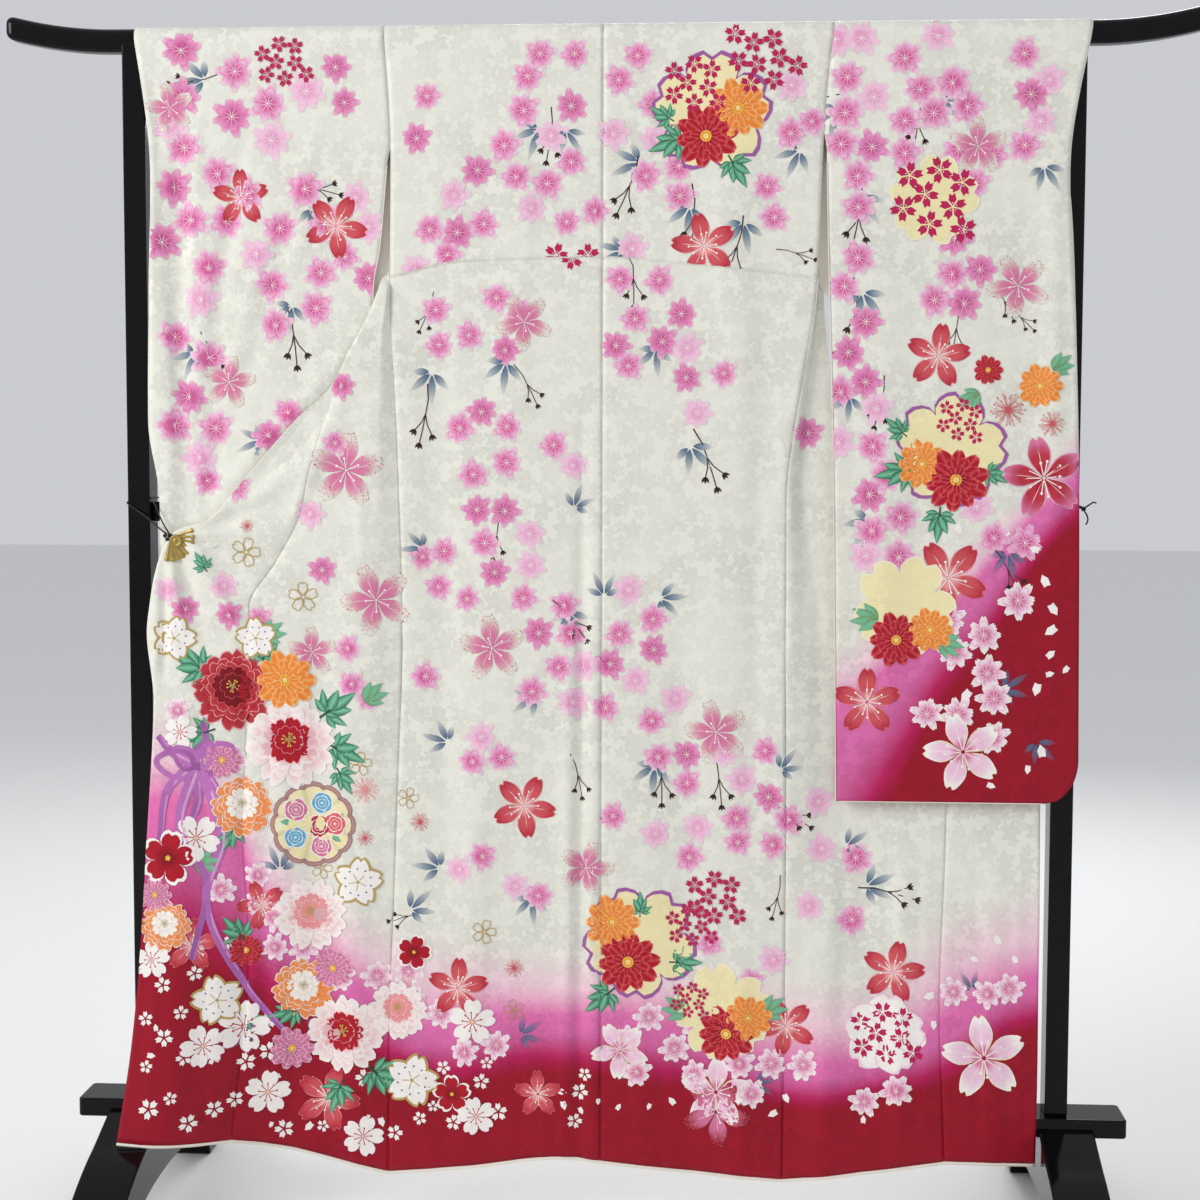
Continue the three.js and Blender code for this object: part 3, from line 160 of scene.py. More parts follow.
SLEEVE_LEFT = {
    "sewn": BODY_SIDE_LEFT, "arm_end": 1551, "bottom": 627, "corner_top": 672, "corner_width": 45,
    "inner": table("z x", (1551, -294), (1480, -300), (1400, -308), (1366, -315), (1340, -317), (627, -317)),
    "outer": table("z x", (1720, -658), (1515, -634), (1164, -642), (1051, -627), (900, -626), (672, -628)),
    "rear_outer": table("z x", (1720, -658), (1690, -656), (1660, -640), (1515, -634), (1340, -639),
                        (1164, -641), (1051, -627), (900, -626), (672, -628)),
}
SLEEVE_RIGHT = {
    "sewn": BODY_SIDE_RIGHT, "arm_end": 1568, "bottom": 628, "corner_top": 690, "corner_width": 46,
    "inner": table("z x", (1568, 318), (1430, 322), (1125, 332), (633, 341)),
    "outer": table("z x", (1720, 683), (1514, 653), (1300, 665), (1056, 674), (690, 680)),
    "rear_outer": table("z x", (1720, 683), (1692, 680), (1650, 640), (1504, 640), (1478, 654), (1300, 665),
                        (1056, 674), (690, 680)),
}
OPEN_COLUMNS = "at seam_x seam_y seam_z edge_x edge_y edge_z"
FRONT_LEFT = table(
    OPEN_COLUMNS,
    (0.0, -299.6, 26, 1661.4, -80, 26, 1661.4), (0.07, -294.6, 25.5, 1600, -128, 26, 1600),
    (0.12, -291, 24, 1551, -166, 25, 1551), (0.18, -294, 18, 1480, -221, 22, 1480),
    (0.23, -297, 6, 1425, -262, 14, 1427), (0.26, -297, -8, 1395, -287, 5, 1397),
    (0.28, -295.3, -19, 1377, -300, -6, 1380), (0.3, -294, -25, 1364, -305, -22, 1366),
    (0.32, -293.6, -26, 1352, -308, -32.5, 1353), (0.35, -293.3, -26, 1330, -320, -33.5, 1322),
    (0.39, -292.3, -26, 1290, -357, -33.5, 1250), (0.43, -290, -26, 1225, -377, -33.5, 1207),
    (0.53, -284, -26, 1090, -424, -33.5, 1028), (0.61, -278.6, -26, 930, -500, -33.5, 893),
    (0.64, -279.3, -26.4, 845, -494, -33.5, 838), (0.69, -282, -27, 745, -502, -33.5, 745),
    (0.77, -288, -27.6, 578, -509, -33.5, 578), (0.85, -294, -28.4, 412, -500, -33.5, 412),
    (1.0, -302.3, -30, 76, -522, -33.5, 131))
OKUMI_LEFT = table(
    OPEN_COLUMNS,
    (0.0, -378, -33.5, 1203, -386, -33.5, 1201), (0.05, -391, -33.5, 1155, -419, -33.5, 1174),
    (0.14, -408, -33.5, 1095, -502, -33.5, 1082), (0.22, -424.3, -33.5, 1028, -554, -33.5, 1024),
    (0.28, -462, -33.5, 958, -605, -33.5, 1006), (0.34, -491, -33.5, 912, -629, -33.5, 962),
    (0.4, -499.6, -33.5, 875, -641, -33.5, 905), (0.45, -494.4, -33.5, 838, -646, -33.5, 860),
    (0.54, -502.3, -33.5, 745, -636, -33.5, 765), (0.7, -509.3, -33.5, 578, -644, -33.5, 560),
    (0.8, -500.3, -33.5, 412, -649, -33.5, 420), (0.9, -510, -33.5, 270, -658, -33.5, 280),
    (1.0, -522.3, -33.5, 131, -675, -33.5, 141))
FRONT_RIGHT = table(
    OPEN_COLUMNS,
    (0.0, 322, 26, 1661.4, 96, 26, 1661.4), (0.07, 317, 25.5, 1600, 144, 26, 1600),
    (0.12, 313.6, 24, 1555, 180, 25, 1555), (0.18, 313, 17, 1480, 236, 21, 1480),
    (0.23, 312.5, 6, 1425, 278, 13, 1427), (0.26, 311.5, -8, 1395, 303, 3, 1397),
    (0.28, 310, -18, 1378, 313, -3, 1381), (0.3, 309, -24, 1363, 316, -9, 1364),
    (0.32, 308.2, -26, 1350, 317, -11.5, 1350), (0.36, 303.3, -26, 1310, 319, -12.5, 1310),
    (0.4, 295.3, -26, 1262, 324, -12.5, 1262), (0.45, 282.2, -26, 1180, 330, -12.5, 1178),
    (0.51, 269.3, -26, 1075, 346, -12.5, 1095), (0.58, 268.4, -26, 950, 400, -12.5, 985),
    (0.66, 268.8, -26.5, 800, 466, -12.5, 880), (0.77, 269.6, -27.3, 628, 499, -12.5, 640),
    (0.88, 271, -28.6, 345, 491, -12.5, 345), (1.0, 270.3, -30, 78, 500, -12.5, 114))
OKUMI_RIGHT = table(
    OPEN_COLUMNS,
    (0.0, 466.3, -12.5, 874, 474, -12.5, 868), (0.12, 480.3, -12.5, 800, 540, -12.5, 790),
    (0.22, 491.3, -12.5, 730, 598, -12.5, 727), (0.3, 497.3, -12.5, 670, 629, -12.5, 680),
    (0.38, 498.3, -12.5, 610, 630.5, -12.5, 620), (0.7, 491.3, -12.5, 345, 629.5, -12.5, 345),
    (1.0, 500.3, -12.5, 114, 628, -12.5, 114))
COLLAR = table(
    "x y z side_x side_y side_z width",
    (-588, -30.8, 983, -0.7, 0, 0.7, 34), (-541, -30.8, 1010, -0.7, 0, 0.7, 40),
    (-489, -30.8, 1066, -0.7, 0, 0.7, 40), (-410, -30.8, 1152, -0.7, 0, 0.7, 40),
    (-363, -30.8, 1204, -0.8, 0, 0.6, 34), (-335, -30.8, 1257, -0.86, 0, 0.5, 27),
    (-314, -31, 1312, -0.9, 0, 0.43, 13), (-308, -27, 1340, -0.9, 0.3, 0.3, 8),
    (-306, -19, 1352, -0.9, 0.3, 0.1, 7), (-302, -7, 1363, -0.7, 0.7, 0, 7),
    (-294, 5, 1378, 0, 1, 0, 8), (-279, 14, 1394, 0.6, 0.8, 0, 12),
    (-241, 23, 1425, 0.74, 0.3, -0.6, 26), (-196, 25, 1474, 0.78, 0.1, -0.62, 36),
    (-146, 26, 1540, 0.79, 0, -0.61, 40), (-88, 26, 1617, 0.77, 0, -0.64, 40),
    (-52, 26.5, 1652, 0.5, 0, -0.87, 40), (8, 27, 1664, 0, 0, -1, 40),
    (68, 26.5, 1652, -0.5, 0, -0.87, 40), (104, 26, 1617, -0.77, 0, -0.64, 40),
    (161, 26, 1540, -0.79, 0, -0.61, 40), (211, 25, 1474, -0.78, 0.1, -0.62, 36),
    (256, 23, 1426, -0.74, 0.3, -0.6, 26), (292, 14, 1398, -0.6, 0.8, 0, 12),
    (307, 7, 1378, 0, 1, 0, 8), (311, 1, 1362, 0.5, 0.8, 0, 8), (312, -5, 1344, 0.9, 0.3, 0, 9),
    (311, -9, 1316, 1, 0, 0, 15), (310, -10.1, 1270, 1, 0, 0.1, 26), (314, -10.1, 1180, 0.97, 0, 0.2, 32),
    (331, -10.1, 1085, 0.86, 0, 0.5, 38), (386, -10.1, 970, 0.82, 0, 0.57, 40),
    (451, -10.1, 866, 0.8, 0, 0.6, 40), (524, -10.1, 777, 0.74, 0, 0.67, 40),
    (606, -10.1, 690, 0.7, 0, 0.7, 34))

# Soft ridges (rise towards -Y) and troughs (negative), each along a line on the cloth.
FOLD_COLUMNS = "from_x from_z to_x to_z width rise"
BODY_FOLDS = table(
    FOLD_COLUMNS,
    (-20, 1180, -24, 60, 9, -5), (-38, 900, -44, 60, 10, 4), (-2, 1000, -4, 60, 9, 3),
    (-232, 1300, -214, 520, 26, -4), (-170, 700, -190, 70, 24, 4), (-105, 1640, -120, 1120, 30, 3),
    (180, 1640, 205, 1150, 30, 3), (238, 1320, 222, 560, 20, -4), (120, 900, 140, 70, 28, -4),
    (205, 420, 212, 70, 20, 4))
SLEEVE_LEFT_FOLDS = table(
    FOLD_COLUMNS,
    (-598, 1640, -590, 1010, 13, -5), (-618, 1420, -612, 1020, 9, 3), (-524, 1290, -566, 1020, 16, -4),
    (-552, 1480, -574, 1040, 14, 3))
SLEEVE_RIGHT_FOLDS = table(
    FOLD_COLUMNS,
    (628, 1640, 640, 1000, 13, 3), (600, 1500, 604, 800, 22, -3), (400, 1400, 410, 700, 26, 3))
OPEN_FRONT_FOLDS = table(
    FOLD_COLUMNS,
    (-588, 1000, -508, 872, 12, 5), (-596, 948, -562, 850, 9, -4), (-612, 960, -604, 830, 9, 4),
    (-556, 958, -446, 915, 14, -4), (-330, 1280, -420, 1050, 16, 3), (-505, 900, -512, 200, 9, -4),
    (-590, 800, -600, 170, 20, 4), (-400, 960, -396, 120, 26, -5), (-452, 700, -462, 120, 18, 4),
    (-350, 520, -352, 100, 18, 4), (380, 600, 384, 110, 26, -5), (440, 560, 436, 120, 18, 4),
    (330, 560, 322, 100, 16, 3), (570, 560, 566, 130, 18, 3))
# Finer creases, which only the looks have.
FINE_CREASES = table(
    FOLD_COLUMNS,
    # drag lines on the left sleeve, drawn to the fan clip
    (-560, 1600, -600, 1060, 8, 2.4), (-500, 1560, -580, 1080, 10, -2.8), (-470, 1420, -566, 1080, 9, 2.4),
    (-430, 1460, -520, 1150, 12, -1.8), (-628, 1660, -606, 1300, 7, -2.6), (-640, 1640, -628, 1120, 7, 2.8),
    (-400, 1600, -440, 1300, 14, 1.6), (-585, 1300, -598, 1060, 6, -1.6),
    # puckers below the armholes and along the side seams
    (-300, 1360, -262, 1290, 7, 1.6), (-300, 1352, -250, 1330, 6, -1.3), (-296, 1300, -268, 1200, 8, 1.4),
    (300, 1356, 262, 1300, 8, 1.6), (304, 1350, 250, 1342, 6, -1.2), (292, 1260, 262, 1130, 9, 1.5),
    (-282, 900, -262, 640, 10, -1.2), (266, 900, 246, 600, 9, -1.2),
    # shallow wrinkles at the hem
    (-250, 300, -240, 80, 9, 1.6), (-110, 330, -104, 90, 11, -1.6), (-76, 240, -70, 96, 7, 1.3),
    (60, 420, 66, 92, 12, 1.6), (94, 260, 98, 92, 8, -1.2), (172, 380, 176, 86, 10, -1.5),
    (240, 240, 244, 80, 8, 1.4),
    # fan of creases below the clip
    (-600, 978, -530, 905, 6, 3.8), (-604, 972, -560, 880, 6, -3.6), (-610, 968, -590, 850, 6, 3.6),
    (-588, 988, -480, 925, 9, 3.8), (-584, 994, -450, 960, 10, -3.8), (-580, 1000, -440, 1010, 10, 3.0),
    (-618, 958, -622, 800, 6, -3.0), (-630, 940, -634, 780, 6, 2.8), (-590, 1004, -420, 1096, 16, 4.2),
    (-570, 1010, -460, 1050, 10, -2.2),
    # shoulders of the diagonal fold and the seam beside it
    (-560, 1036, -330, 1290, 11, 3.6), (-540, 1010, -352, 1220, 14, -2.8), (-392, 1150, -440, 1000, 7, 2.0),
    (-380, 1100, -470, 940, 9, -1.8),
    # long soft lines of the left front
    (-420, 900, -430, 300, 9, 1.3), (-470, 860, -478, 300, 8, -1.2), (-330, 1150, -360, 600, 12, 1.4),
    (-560, 760, -566, 220, 9, -1.5), (-620, 700, -630, 200, 8, 1.3), (-540, 500, -544, 150, 8, 1.4),
    # and of the right front
    (300, 1000, 306, 300, 10, 1.2), (350, 800, 356, 200, 10, -1.3), (412, 620, 414, 130, 8, -1.2),
    (470, 560, 472, 130, 8, 1.2), (540, 560, 544, 130, 9, -1.3), (600, 560, 604, 140, 9, 1.2),
    # folding lines of the right sleeve
    (500, 1660, 506, 900, 8, 1.0), (560, 1400, 566, 760, 9, -1.1), (440, 1500, 448, 1000, 10, -1.0),
    (660, 1300, 664, 860, 6, -1.2), (360, 1300, 366, 800, 8, -1.0))
FOLD_START = 0.35


def relief(folds, x, z):
    """How far the folds of a table stand towards -Y at places on the cloth."""
    total = np.zeros(np.broadcast(x, z).shape)
    for i in range(len(folds["rise"])):
        from_x, from_z = folds["from_x"][i], folds["from_z"][i]
        dx, dz = folds["to_x"][i] - from_x, folds["to_z"][i] - from_z
        along = np.clip(((x - from_x) * dx + (z - from_z) * dz) / (dx * dx + dz * dz), 0, 1)
        off = np.hypot(x - from_x - along * dx, z - from_z - along * dz) / folds["width"][i]
        fade = np.minimum(1, FOLD_START + 4 * along * (1 - along))
        total += folds["rise"][i] * fade * np.exp(-off * off)
    return total


TALL_WAVES = 0.9
SHORT_WAVES = 0.2


def undulation(x, z):
    """The faint unevenness of hung silk: long upright waves with shorter ones across them."""
    tall = np.sin(x / 31 + 1.4 * np.sin(z / 260)) * np.sin(z / 340 + x / 190)
    short = np.sin(x / 13 + z / 120 + 1.1 * np.sin(z / 95))
    return TALL_WAVES * tall + SHORT_WAVES * short


# The left foot of the stand pushes the hem of the left front forward, and the right sleeve the right front.
FOOT_CLEARANCE = 90
FOOT_PUSH_POWER = 1.6
FOOT_PUSH_TOP = 900
FOOT_PUSH_BOTTOM = 130
FOOT_PUSH_ACROSS = (-430, -640)
RIGHT_PUSHES = ((17, 620, 420), (13, 420, 200))


def forward_left(x, z):
    down = np.clip((FOOT_PUSH_TOP - z) / (FOOT_PUSH_TOP - FOOT_PUSH_BOTTOM), 0, 1)
    return FOOT_CLEARANCE * ease(*FOOT_PUSH_ACROSS, x) * down ** FOOT_PUSH_POWER


def forward_right(x, z):
    return sum(push * ease(high, low, z) for push, high, low in RIGHT_PUSHES) + 0 * x


hem_height = track(HEM, "x", "z")
side_left = track(BODY_SIDE_LEFT, "z", "x")
side_right = track(BODY_SIDE_RIGHT, "z", "x")
okumi_left_seam = track(OKUMI_SEAM_LEFT, "z", "x")
okumi_right_seam = track(OKUMI_SEAM_RIGHT, "z", "x")

# The waist tuck of the back, where the upper cloth laps over the lower.
TUCK = table("x z", (-300, 1366), (-180, 1390), (8, 1394), (150, 1382), (315, 1364))
tuck_height = track(TUCK, "x", "z")
TUCK_STEP = 1.3
TUCK_ABOVE = 34
TUCK_BELOW = 60
SEAM_DIP = 1.1
SEAM_DIP_WIDTH = 4


def over_bar(along, rear_z, front_z):
    """A strip behind the bar (0 to 1), over it (to 2) and in front of it (to 3)."""
    turn = np.pi * np.clip(along - 1, 0, 1)
    y = OVER_BAR_RADIUS * np.cos(turn)
    z = OVER_BAR_Z + OVER_BAR_RADIUS * np.sin(turn)
    z = np.where(along < 1, mix(rear_z, OVER_BAR_Z, along), z)
    return y, np.where(along > 2, mix(OVER_BAR_Z, front_z, along - 2), z)


def seam_dip(x, seam_x, depth=SEAM_DIP):
    """Cloth sinks into a seam: a narrow groove about its line."""
    return depth * np.exp(-(((x - seam_x) / SEAM_DIP_WIDTH) ** 2))


def back_surface(side_table):
    side = track(side_table, "z", "x")
    foot = side_table["z"][-1]

    def middle(u, v):
        from_centre = mix(np.abs(side(SHOULDER_Z) - CENTRE_X), 0, u)
        neck = ease(NECK_HALF_WIDTH + NECK_CORNER / 2, NECK_HALF_WIDTH - NECK_CORNER, from_centre)
        hem = hem_height(mix(side(foot), CENTRE_X, u))
        y, z = over_bar(3 * v, mix(SHOULDER_Z, NECK_BACK_Z, neck), hem)
        x = mix(side(z), CENTRE_X, u)
        in_front = np.where(v > 0.5, ease(OVER_BAR_Z, OVER_BAR_Z - NECK_CORNER, z), 0)
        drift = HEM_DRIFT * ease(*HEM_DRIFT_HEIGHTS, z)
        hang = -drift - relief(BODY_FOLDS, x, z) - relief(FINE_CREASES, x, z)
        below = tuck_height(x) - z
        tuck = -TUCK_STEP * ease(-TUCK_ABOVE, 0, below) * (below < 0)
        under = TUCK_STEP * ease(TUCK_BELOW, 0, below) * (below >= 0)
        grooves = seam_dip(x, CENTRE_X) + seam_dip(x, side(z))
        return x, y + in_front * (hang + tuck + under + grooves - undulation(x, z)), z

    return middle


# The rear layer of a sleeve reaches in behind the body between these heights.
REAR_REACH = 20
REAR_REACH_TOP = (1575, 1540)
REAR_REACH_FOOT = (1330, 1365)
CLOSED_ACROSS = (560, 622)
SLEEVE_FOOT_CALM = 10
SLEEVE_TOP_CALM = 40


def sleeve_surface(shape, sign, folds):
    sewn = track(shape["sewn"], "z", "x")
    inner, outer = track(shape["inner"], "z", "x"), track(shape["outer"], "z", "x")
    rear_outer = track(shape["rear_outer"], "z", "x")

    def middle(u, v):
        y, z = over_bar(3 * v, shape["bottom"], shape["bottom"])
        rear = v <= 0.5
        free = ease(shape["arm_end"], shape["arm_end"] - ARM_TAPER, z)
        behind = rear * ease(*REAR_REACH_TOP, z) * ease(*REAR_REACH_FOOT, z)
        start = mix(sewn(z), inner(z), free) - sign * REAR_REACH * behind
        low = np.clip((shape["corner_top"] - z) / (shape["corner_top"] - shape["bottom"]), 0, 1)
        rounded = shape["corner_width"] * (1 - np.sqrt(1 - low * low))
        x = mix(start, np.where(rear, rear_outer(z), outer(z)) - sign * rounded, u)
        edge = ease(*CLOSED_ACROSS, np.abs(x))
        closed = np.maximum(edge, ease(shape["bottom"] + SLEEVE_CLOSE, shape["bottom"], z))
        hung = ease(RAMP_TOP, RAMP_BOTTOM, z)
        calm = ease(shape["bottom"] + SLEEVE_FOOT_CALM, shape["bottom"] + SLEEVE_CLOSE, z)
        fine = calm * (relief(FINE_CREASES, x, z) + undulation(x, z))
        raised = relief(folds, x, z) * hung
        rear_y = mix(y, mix(SLEEVE_REAR_Y, SLEEVE_EDGE_REAR_Y, closed) - edge * (raised + fine), hung)
        settle = ease(OVER_BAR_Z, RAMP_BOTTOM, z)
        seam = seam_dip(x, sewn(z)) * (1 - free)
        front_y = mix(y, mix(FRONT_Y, SLEEVE_EDGE_FRONT_Y, closed) - raised, settle) + seam
        front_y = front_y - fine * ease(OVER_BAR_Z, OVER_BAR_Z - SLEEVE_TOP_CALM, z)
        return x, np.where(rear, rear_y, front_y), z

    return middle


TURNED_SHARE = 0.06


def open_surface(rows, turned, plain, forward, seam, seam_top, edge=None, edge_top=0):
    """A panel between the two edges of a table, which follows its seams below their tops.

    turned is where along it the panel has turned to the front, and plain is the share of its width over
    which it bends while it turns."""
    read = {key: track(rows, "at", key) for key in OPEN_COLUMNS.split()[1:]}

    def middle(u, v):
        seam_z, edge_z = read["seam_z"](v), read["edge_z"](v)
        seam_x = np.where(seam_z < seam_top, seam(seam_z), read["seam_x"](v))
        edge_x = read["edge_x"](v)
        if edge:
            edge_x = np.where(edge_z < edge_top, edge(edge_z), edge_x)
        x, z = mix(seam_x, edge_x, u), mix(seam_z, edge_z, u)
        facing = ease(turned, turned + TURNED_SHARE, v) if turned else 1 + 0 * v
        across = mix(u, ease(0, plain, u) if plain else 1 + 0 * u, facing)
        y = mix(read["seam_y"](v), read["edge_y"](v), across)
        raised = relief(OPEN_FRONT_FOLDS, x, z) + relief(FINE_CREASES, x, z) + undulation(x, z)
        groove = seam_dip(x, seam_x) * facing + (seam_dip(x, edge_x) * facing if edge else 0)
        return x, y - (raised + forward(x, z)) * facing * across + groove, z

    return middle


def stops(*knots):
    """Grid stops: each knot is (value, number of steps from the one before)."""
    out = [knots[0][0]]
    for value, steps in knots[1:]:
        last = out[-1]
        out += [last + (value - last) * (i + 1) / steps for i in range(steps)]
    return np.array(out)


SURFACES = {
    "back_left": back_surface(BODY_SIDE_LEFT),
    "back_right": back_surface(BODY_SIDE_RIGHT),
    "sleeve_left": sleeve_surface(SLEEVE_LEFT, -1, SLEEVE_LEFT_FOLDS),
    "sleeve_right": sleeve_surface(SLEEVE_RIGHT, 1, SLEEVE_RIGHT_FOLDS),
    "front_left": open_surface(FRONT_LEFT, turned=0.28, plain=0.22, forward=forward_left, seam=side_left,
                               seam_top=1358, edge=okumi_left_seam, edge_top=1207),
    "okumi_left": open_surface(OKUMI_LEFT, turned=0, plain=0, forward=forward_left, seam=okumi_left_seam,
                               seam_top=1207),
    "front_right": open_surface(FRONT_RIGHT, turned=0.28, plain=0.3, forward=forward_right, seam=side_right,
                                seam_top=1357, edge=okumi_right_seam, edge_top=880),
    "okumi_right": open_surface(OKUMI_RIGHT, turned=0, plain=0, forward=forward_right,
                                seam=okumi_right_seam, seam_top=880),
}
FRONT_STOPS = stops((0, 0), (0.17, 30), (0.22, 40), (1, 130))
SLEEVE_STOPS = stops((0, 0), (0.94, 120), (1, 16))
BAR_STOPS = stops((0, 0), (1, 12))[1:]
BACK_ROWS = np.concatenate([np.linspace(0, 1, 6), 1 + BAR_STOPS, 2 + FRONT_STOPS[1:]]) / 3
SLEEVE_ROWS = np.concatenate([1 - SLEEVE_STOPS[::-1], 1 + BAR_STOPS, 2 + SLEEVE_STOPS[1:]]) / 3
OPEN_ROWS = stops((0, 0), (0.24, 24), (0.4, 40), (1, 150))
EVEN_COLUMNS = np.linspace(0, 1, 49)
# Which face of a panel is printed: +1 for the side of its normal. Cut sizes are width and length in metres.
PANELS = {
    "back_left": {"columns": EVEN_COLUMNS, "rows": BACK_ROWS, "outer": -1, "cut": (0.31, 1.73)},
    "back_right": {"columns": EVEN_COLUMNS, "rows": BACK_ROWS, "outer": 1, "cut": (0.31, 1.73)},
    "sleeve_left": {"columns": EVEN_COLUMNS, "rows": SLEEVE_ROWS, "outer": 1, "cut": (0.34, 2.22)},
    "sleeve_right": {"columns": EVEN_COLUMNS, "rows": SLEEVE_ROWS, "outer": -1, "cut": (0.34, 2.22)},
    "front_left": {"columns": EVEN_COLUMNS, "rows": OPEN_ROWS, "outer": 1, "cut": (0.24, 1.62)},
    "okumi_left": {"columns": np.linspace(0, 1, 37), "rows": np.linspace(0, 1, 180),
                   "outer": 1, "cut": (0.15, 1.10)},
    "front_right": {"columns": EVEN_COLUMNS, "rows": OPEN_ROWS, "outer": -1, "cut": (0.24, 1.62)},
    "okumi_right": {"columns": np.linspace(0, 1, 33), "rows": np.linspace(0, 1, 130),
                    "outer": -1, "cut": (0.14, 0.78)},
}

# ---- Colours


def srgb(red, green, blue):
    """Linear colour of an 8-bit one."""
    return np.array([(c / 255) ** 2.2 for c in (red, green, blue)])


IVORY = srgb(228, 227, 215)
PALE_PINK = srgb(238, 200, 212)
PINK = srgb(226, 112, 174)
MAGENTA = srgb(182, 26, 88)
CRIMSON = srgb(152, 0, 38)
LINING = srgb(236, 228, 214)
DYE_STOPS = (
    (0, IVORY), (0.12, mix(IVORY, PALE_PINK, 0.35)), (0.32, PALE_PINK), (0.55, PINK),
    (0.7, PINK * 0.88), (0.88, MAGENTA), (1, CRIMSON))

# Heights where the shaded dye starts, where it is pink and where it is crimson, from left to right.
BODY_DYE = table(
    "x start pink crimson", (-690, 760, 620, 425), (-642, 750, 620, 410), (-586, 735, 610, 393),
    (-520, 680, 550, 350), (-470, 570, 450, 318), (-380, 500, 385, 270), (-236, 437, 310, 222),
    (-12, 400, 308, 222), (142, 393, 286, 200), (352, 382, 258, 198), (506, 469, 319, 228),
    (604, 500, 368, 288), (640, 510, 380, 305))
SLEEVE_DYE = table(
    "x start pink crimson", (320, 865, 770, 420), (341, 865, 774, 460), (415, 914, 830, 630),
    (470, 956, 872, 736), (544, 1012, 949, 833), (588, 1047, 991, 907), (662, 1152, 1082, 1010),
    (700, 1190, 1120, 1050))
LEFT_SLEEVE_DROP = 150
PINK_SHARE = 0.55


def dye_amount(name, x, z):
    """Zero on plain ivory, PINK_SHARE where it is pink and one in full crimson."""
    drift = 10 * np.sin(x / 90 + 1.3) + 5 * np.sin(x / 37 + z / 60)
    sleeve = name.startswith("sleeve")
    rows, across = (SLEEVE_DYE, np.abs(x)) if sleeve else (BODY_DYE, x)
    drop = LEFT_SLEEVE_DROP if name == "sleeve_left" else 0
    start, pink, crimson = [track(rows, "x", key)(across) - drop for key in ("start", "pink", "crimson")]
    first = np.clip((start - z + drift) / (start - pink), 0, 1)
    return PINK_SHARE * first + (1 - PINK_SHARE) * np.clip((pink - z + drift) / (pink - crimson), 0, 1)


def ramp(amount, color_stops):
    at = [stop[0] for stop in color_stops]
    return np.stack([np.interp(amount, at, [stop[1][i] for stop in color_stops]) for i in range(3)], axis=-1)


# ---- Node materials


def new_material(name):
    material = bpy.data.materials.new(name)
    material.use_nodes = True
    tree = material.node_tree
    return material, tree, tree.nodes["Principled BSDF"]


def node(tree, kind, **settings):
    """A node whose settings are attributes, or inputs where they match one by name or number."""
    made = tree.nodes.new(kind)
    inputs = settings.pop("inputs", {})
    for key, value in settings.items():
        setattr(made, key, value)
    for key, value in inputs.items():
        if isinstance(value, bpy.types.NodeSocket):
            tree.links.new(value, made.inputs[key])
        else:
            made.inputs[key].default_value = value
    return made


def sums(tree, operation, *values):
    """One Math node."""
    return node(tree, "ShaderNodeMath", operation=operation, inputs=dict(enumerate(values))).outputs[0]


def blossom_damask(tree, place, scale, seed):
    """A mask of woven blossoms, each at its own turn, one to a cell of a loose grid."""
    shift = node(tree, "ShaderNodeVectorMath", operation="ADD", inputs={0: place, 1: (seed, 2 * seed, 0)})
    cells = node(tree, "ShaderNodeTexVoronoi", voronoi_dimensions="2D",
                 inputs={"Vector": shift.outputs[0], "Scale": scale, "Randomness": 0.75})
    centre = cells.outputs["Position"]
    away = node(tree, "ShaderNodeVectorMath", operation="SUBTRACT", inputs={0: shift.outputs[0], 1: centre})
    length = node(tree, "ShaderNodeVectorMath", operation="LENGTH", inputs={0: away.outputs[0]})
    parts = node(tree, "ShaderNodeSeparateXYZ", inputs={0: away.outputs[0]})
    turn = sums(tree, "ARCTAN2", parts.outputs[1], parts.outputs[0])
    hue = node(tree, "ShaderNodeSeparateColor", inputs={0: cells.outputs["Color"]})
    phase = sums(tree, "MULTIPLY", hue.outputs[0], 6.28)
    petals = sums(tree, "COSINE", sums(tree, "MULTIPLY_ADD", turn, 5.0, phase))
    reach = sums(tree, "MULTIPLY_ADD", petals, 0.11, 0.36)
    inside = sums(tree, "SUBTRACT", reach, sums(tree, "MULTIPLY", length.outputs["Value"], scale))
    edge = node(tree, "ShaderNodeMapRange", interpolation_type="SMOOTHSTEP",
                inputs={"Value": inside, "From Min": -0.015, "From Max": 0.03})
    heart = sums(tree, "GREATER_THAN", inside, 0.27)
    return sums(tree, "SUBTRACT", edge.outputs[0], sums(tree, "MULTIPLY", heart, 0.6))


def flat_place(tree):
    """Position with depth left out, so that a woven figure is the same on both sides of a fold."""
    place = node(tree, "ShaderNodeNewGeometry").outputs["Position"]
    parts = node(tree, "ShaderNodeSeparateXYZ", inputs={0: place})
    return node(tree, "ShaderNodeCombineXYZ", inputs={0: parts.outputs[0], 1: parts.outputs[2]}).outputs[0]


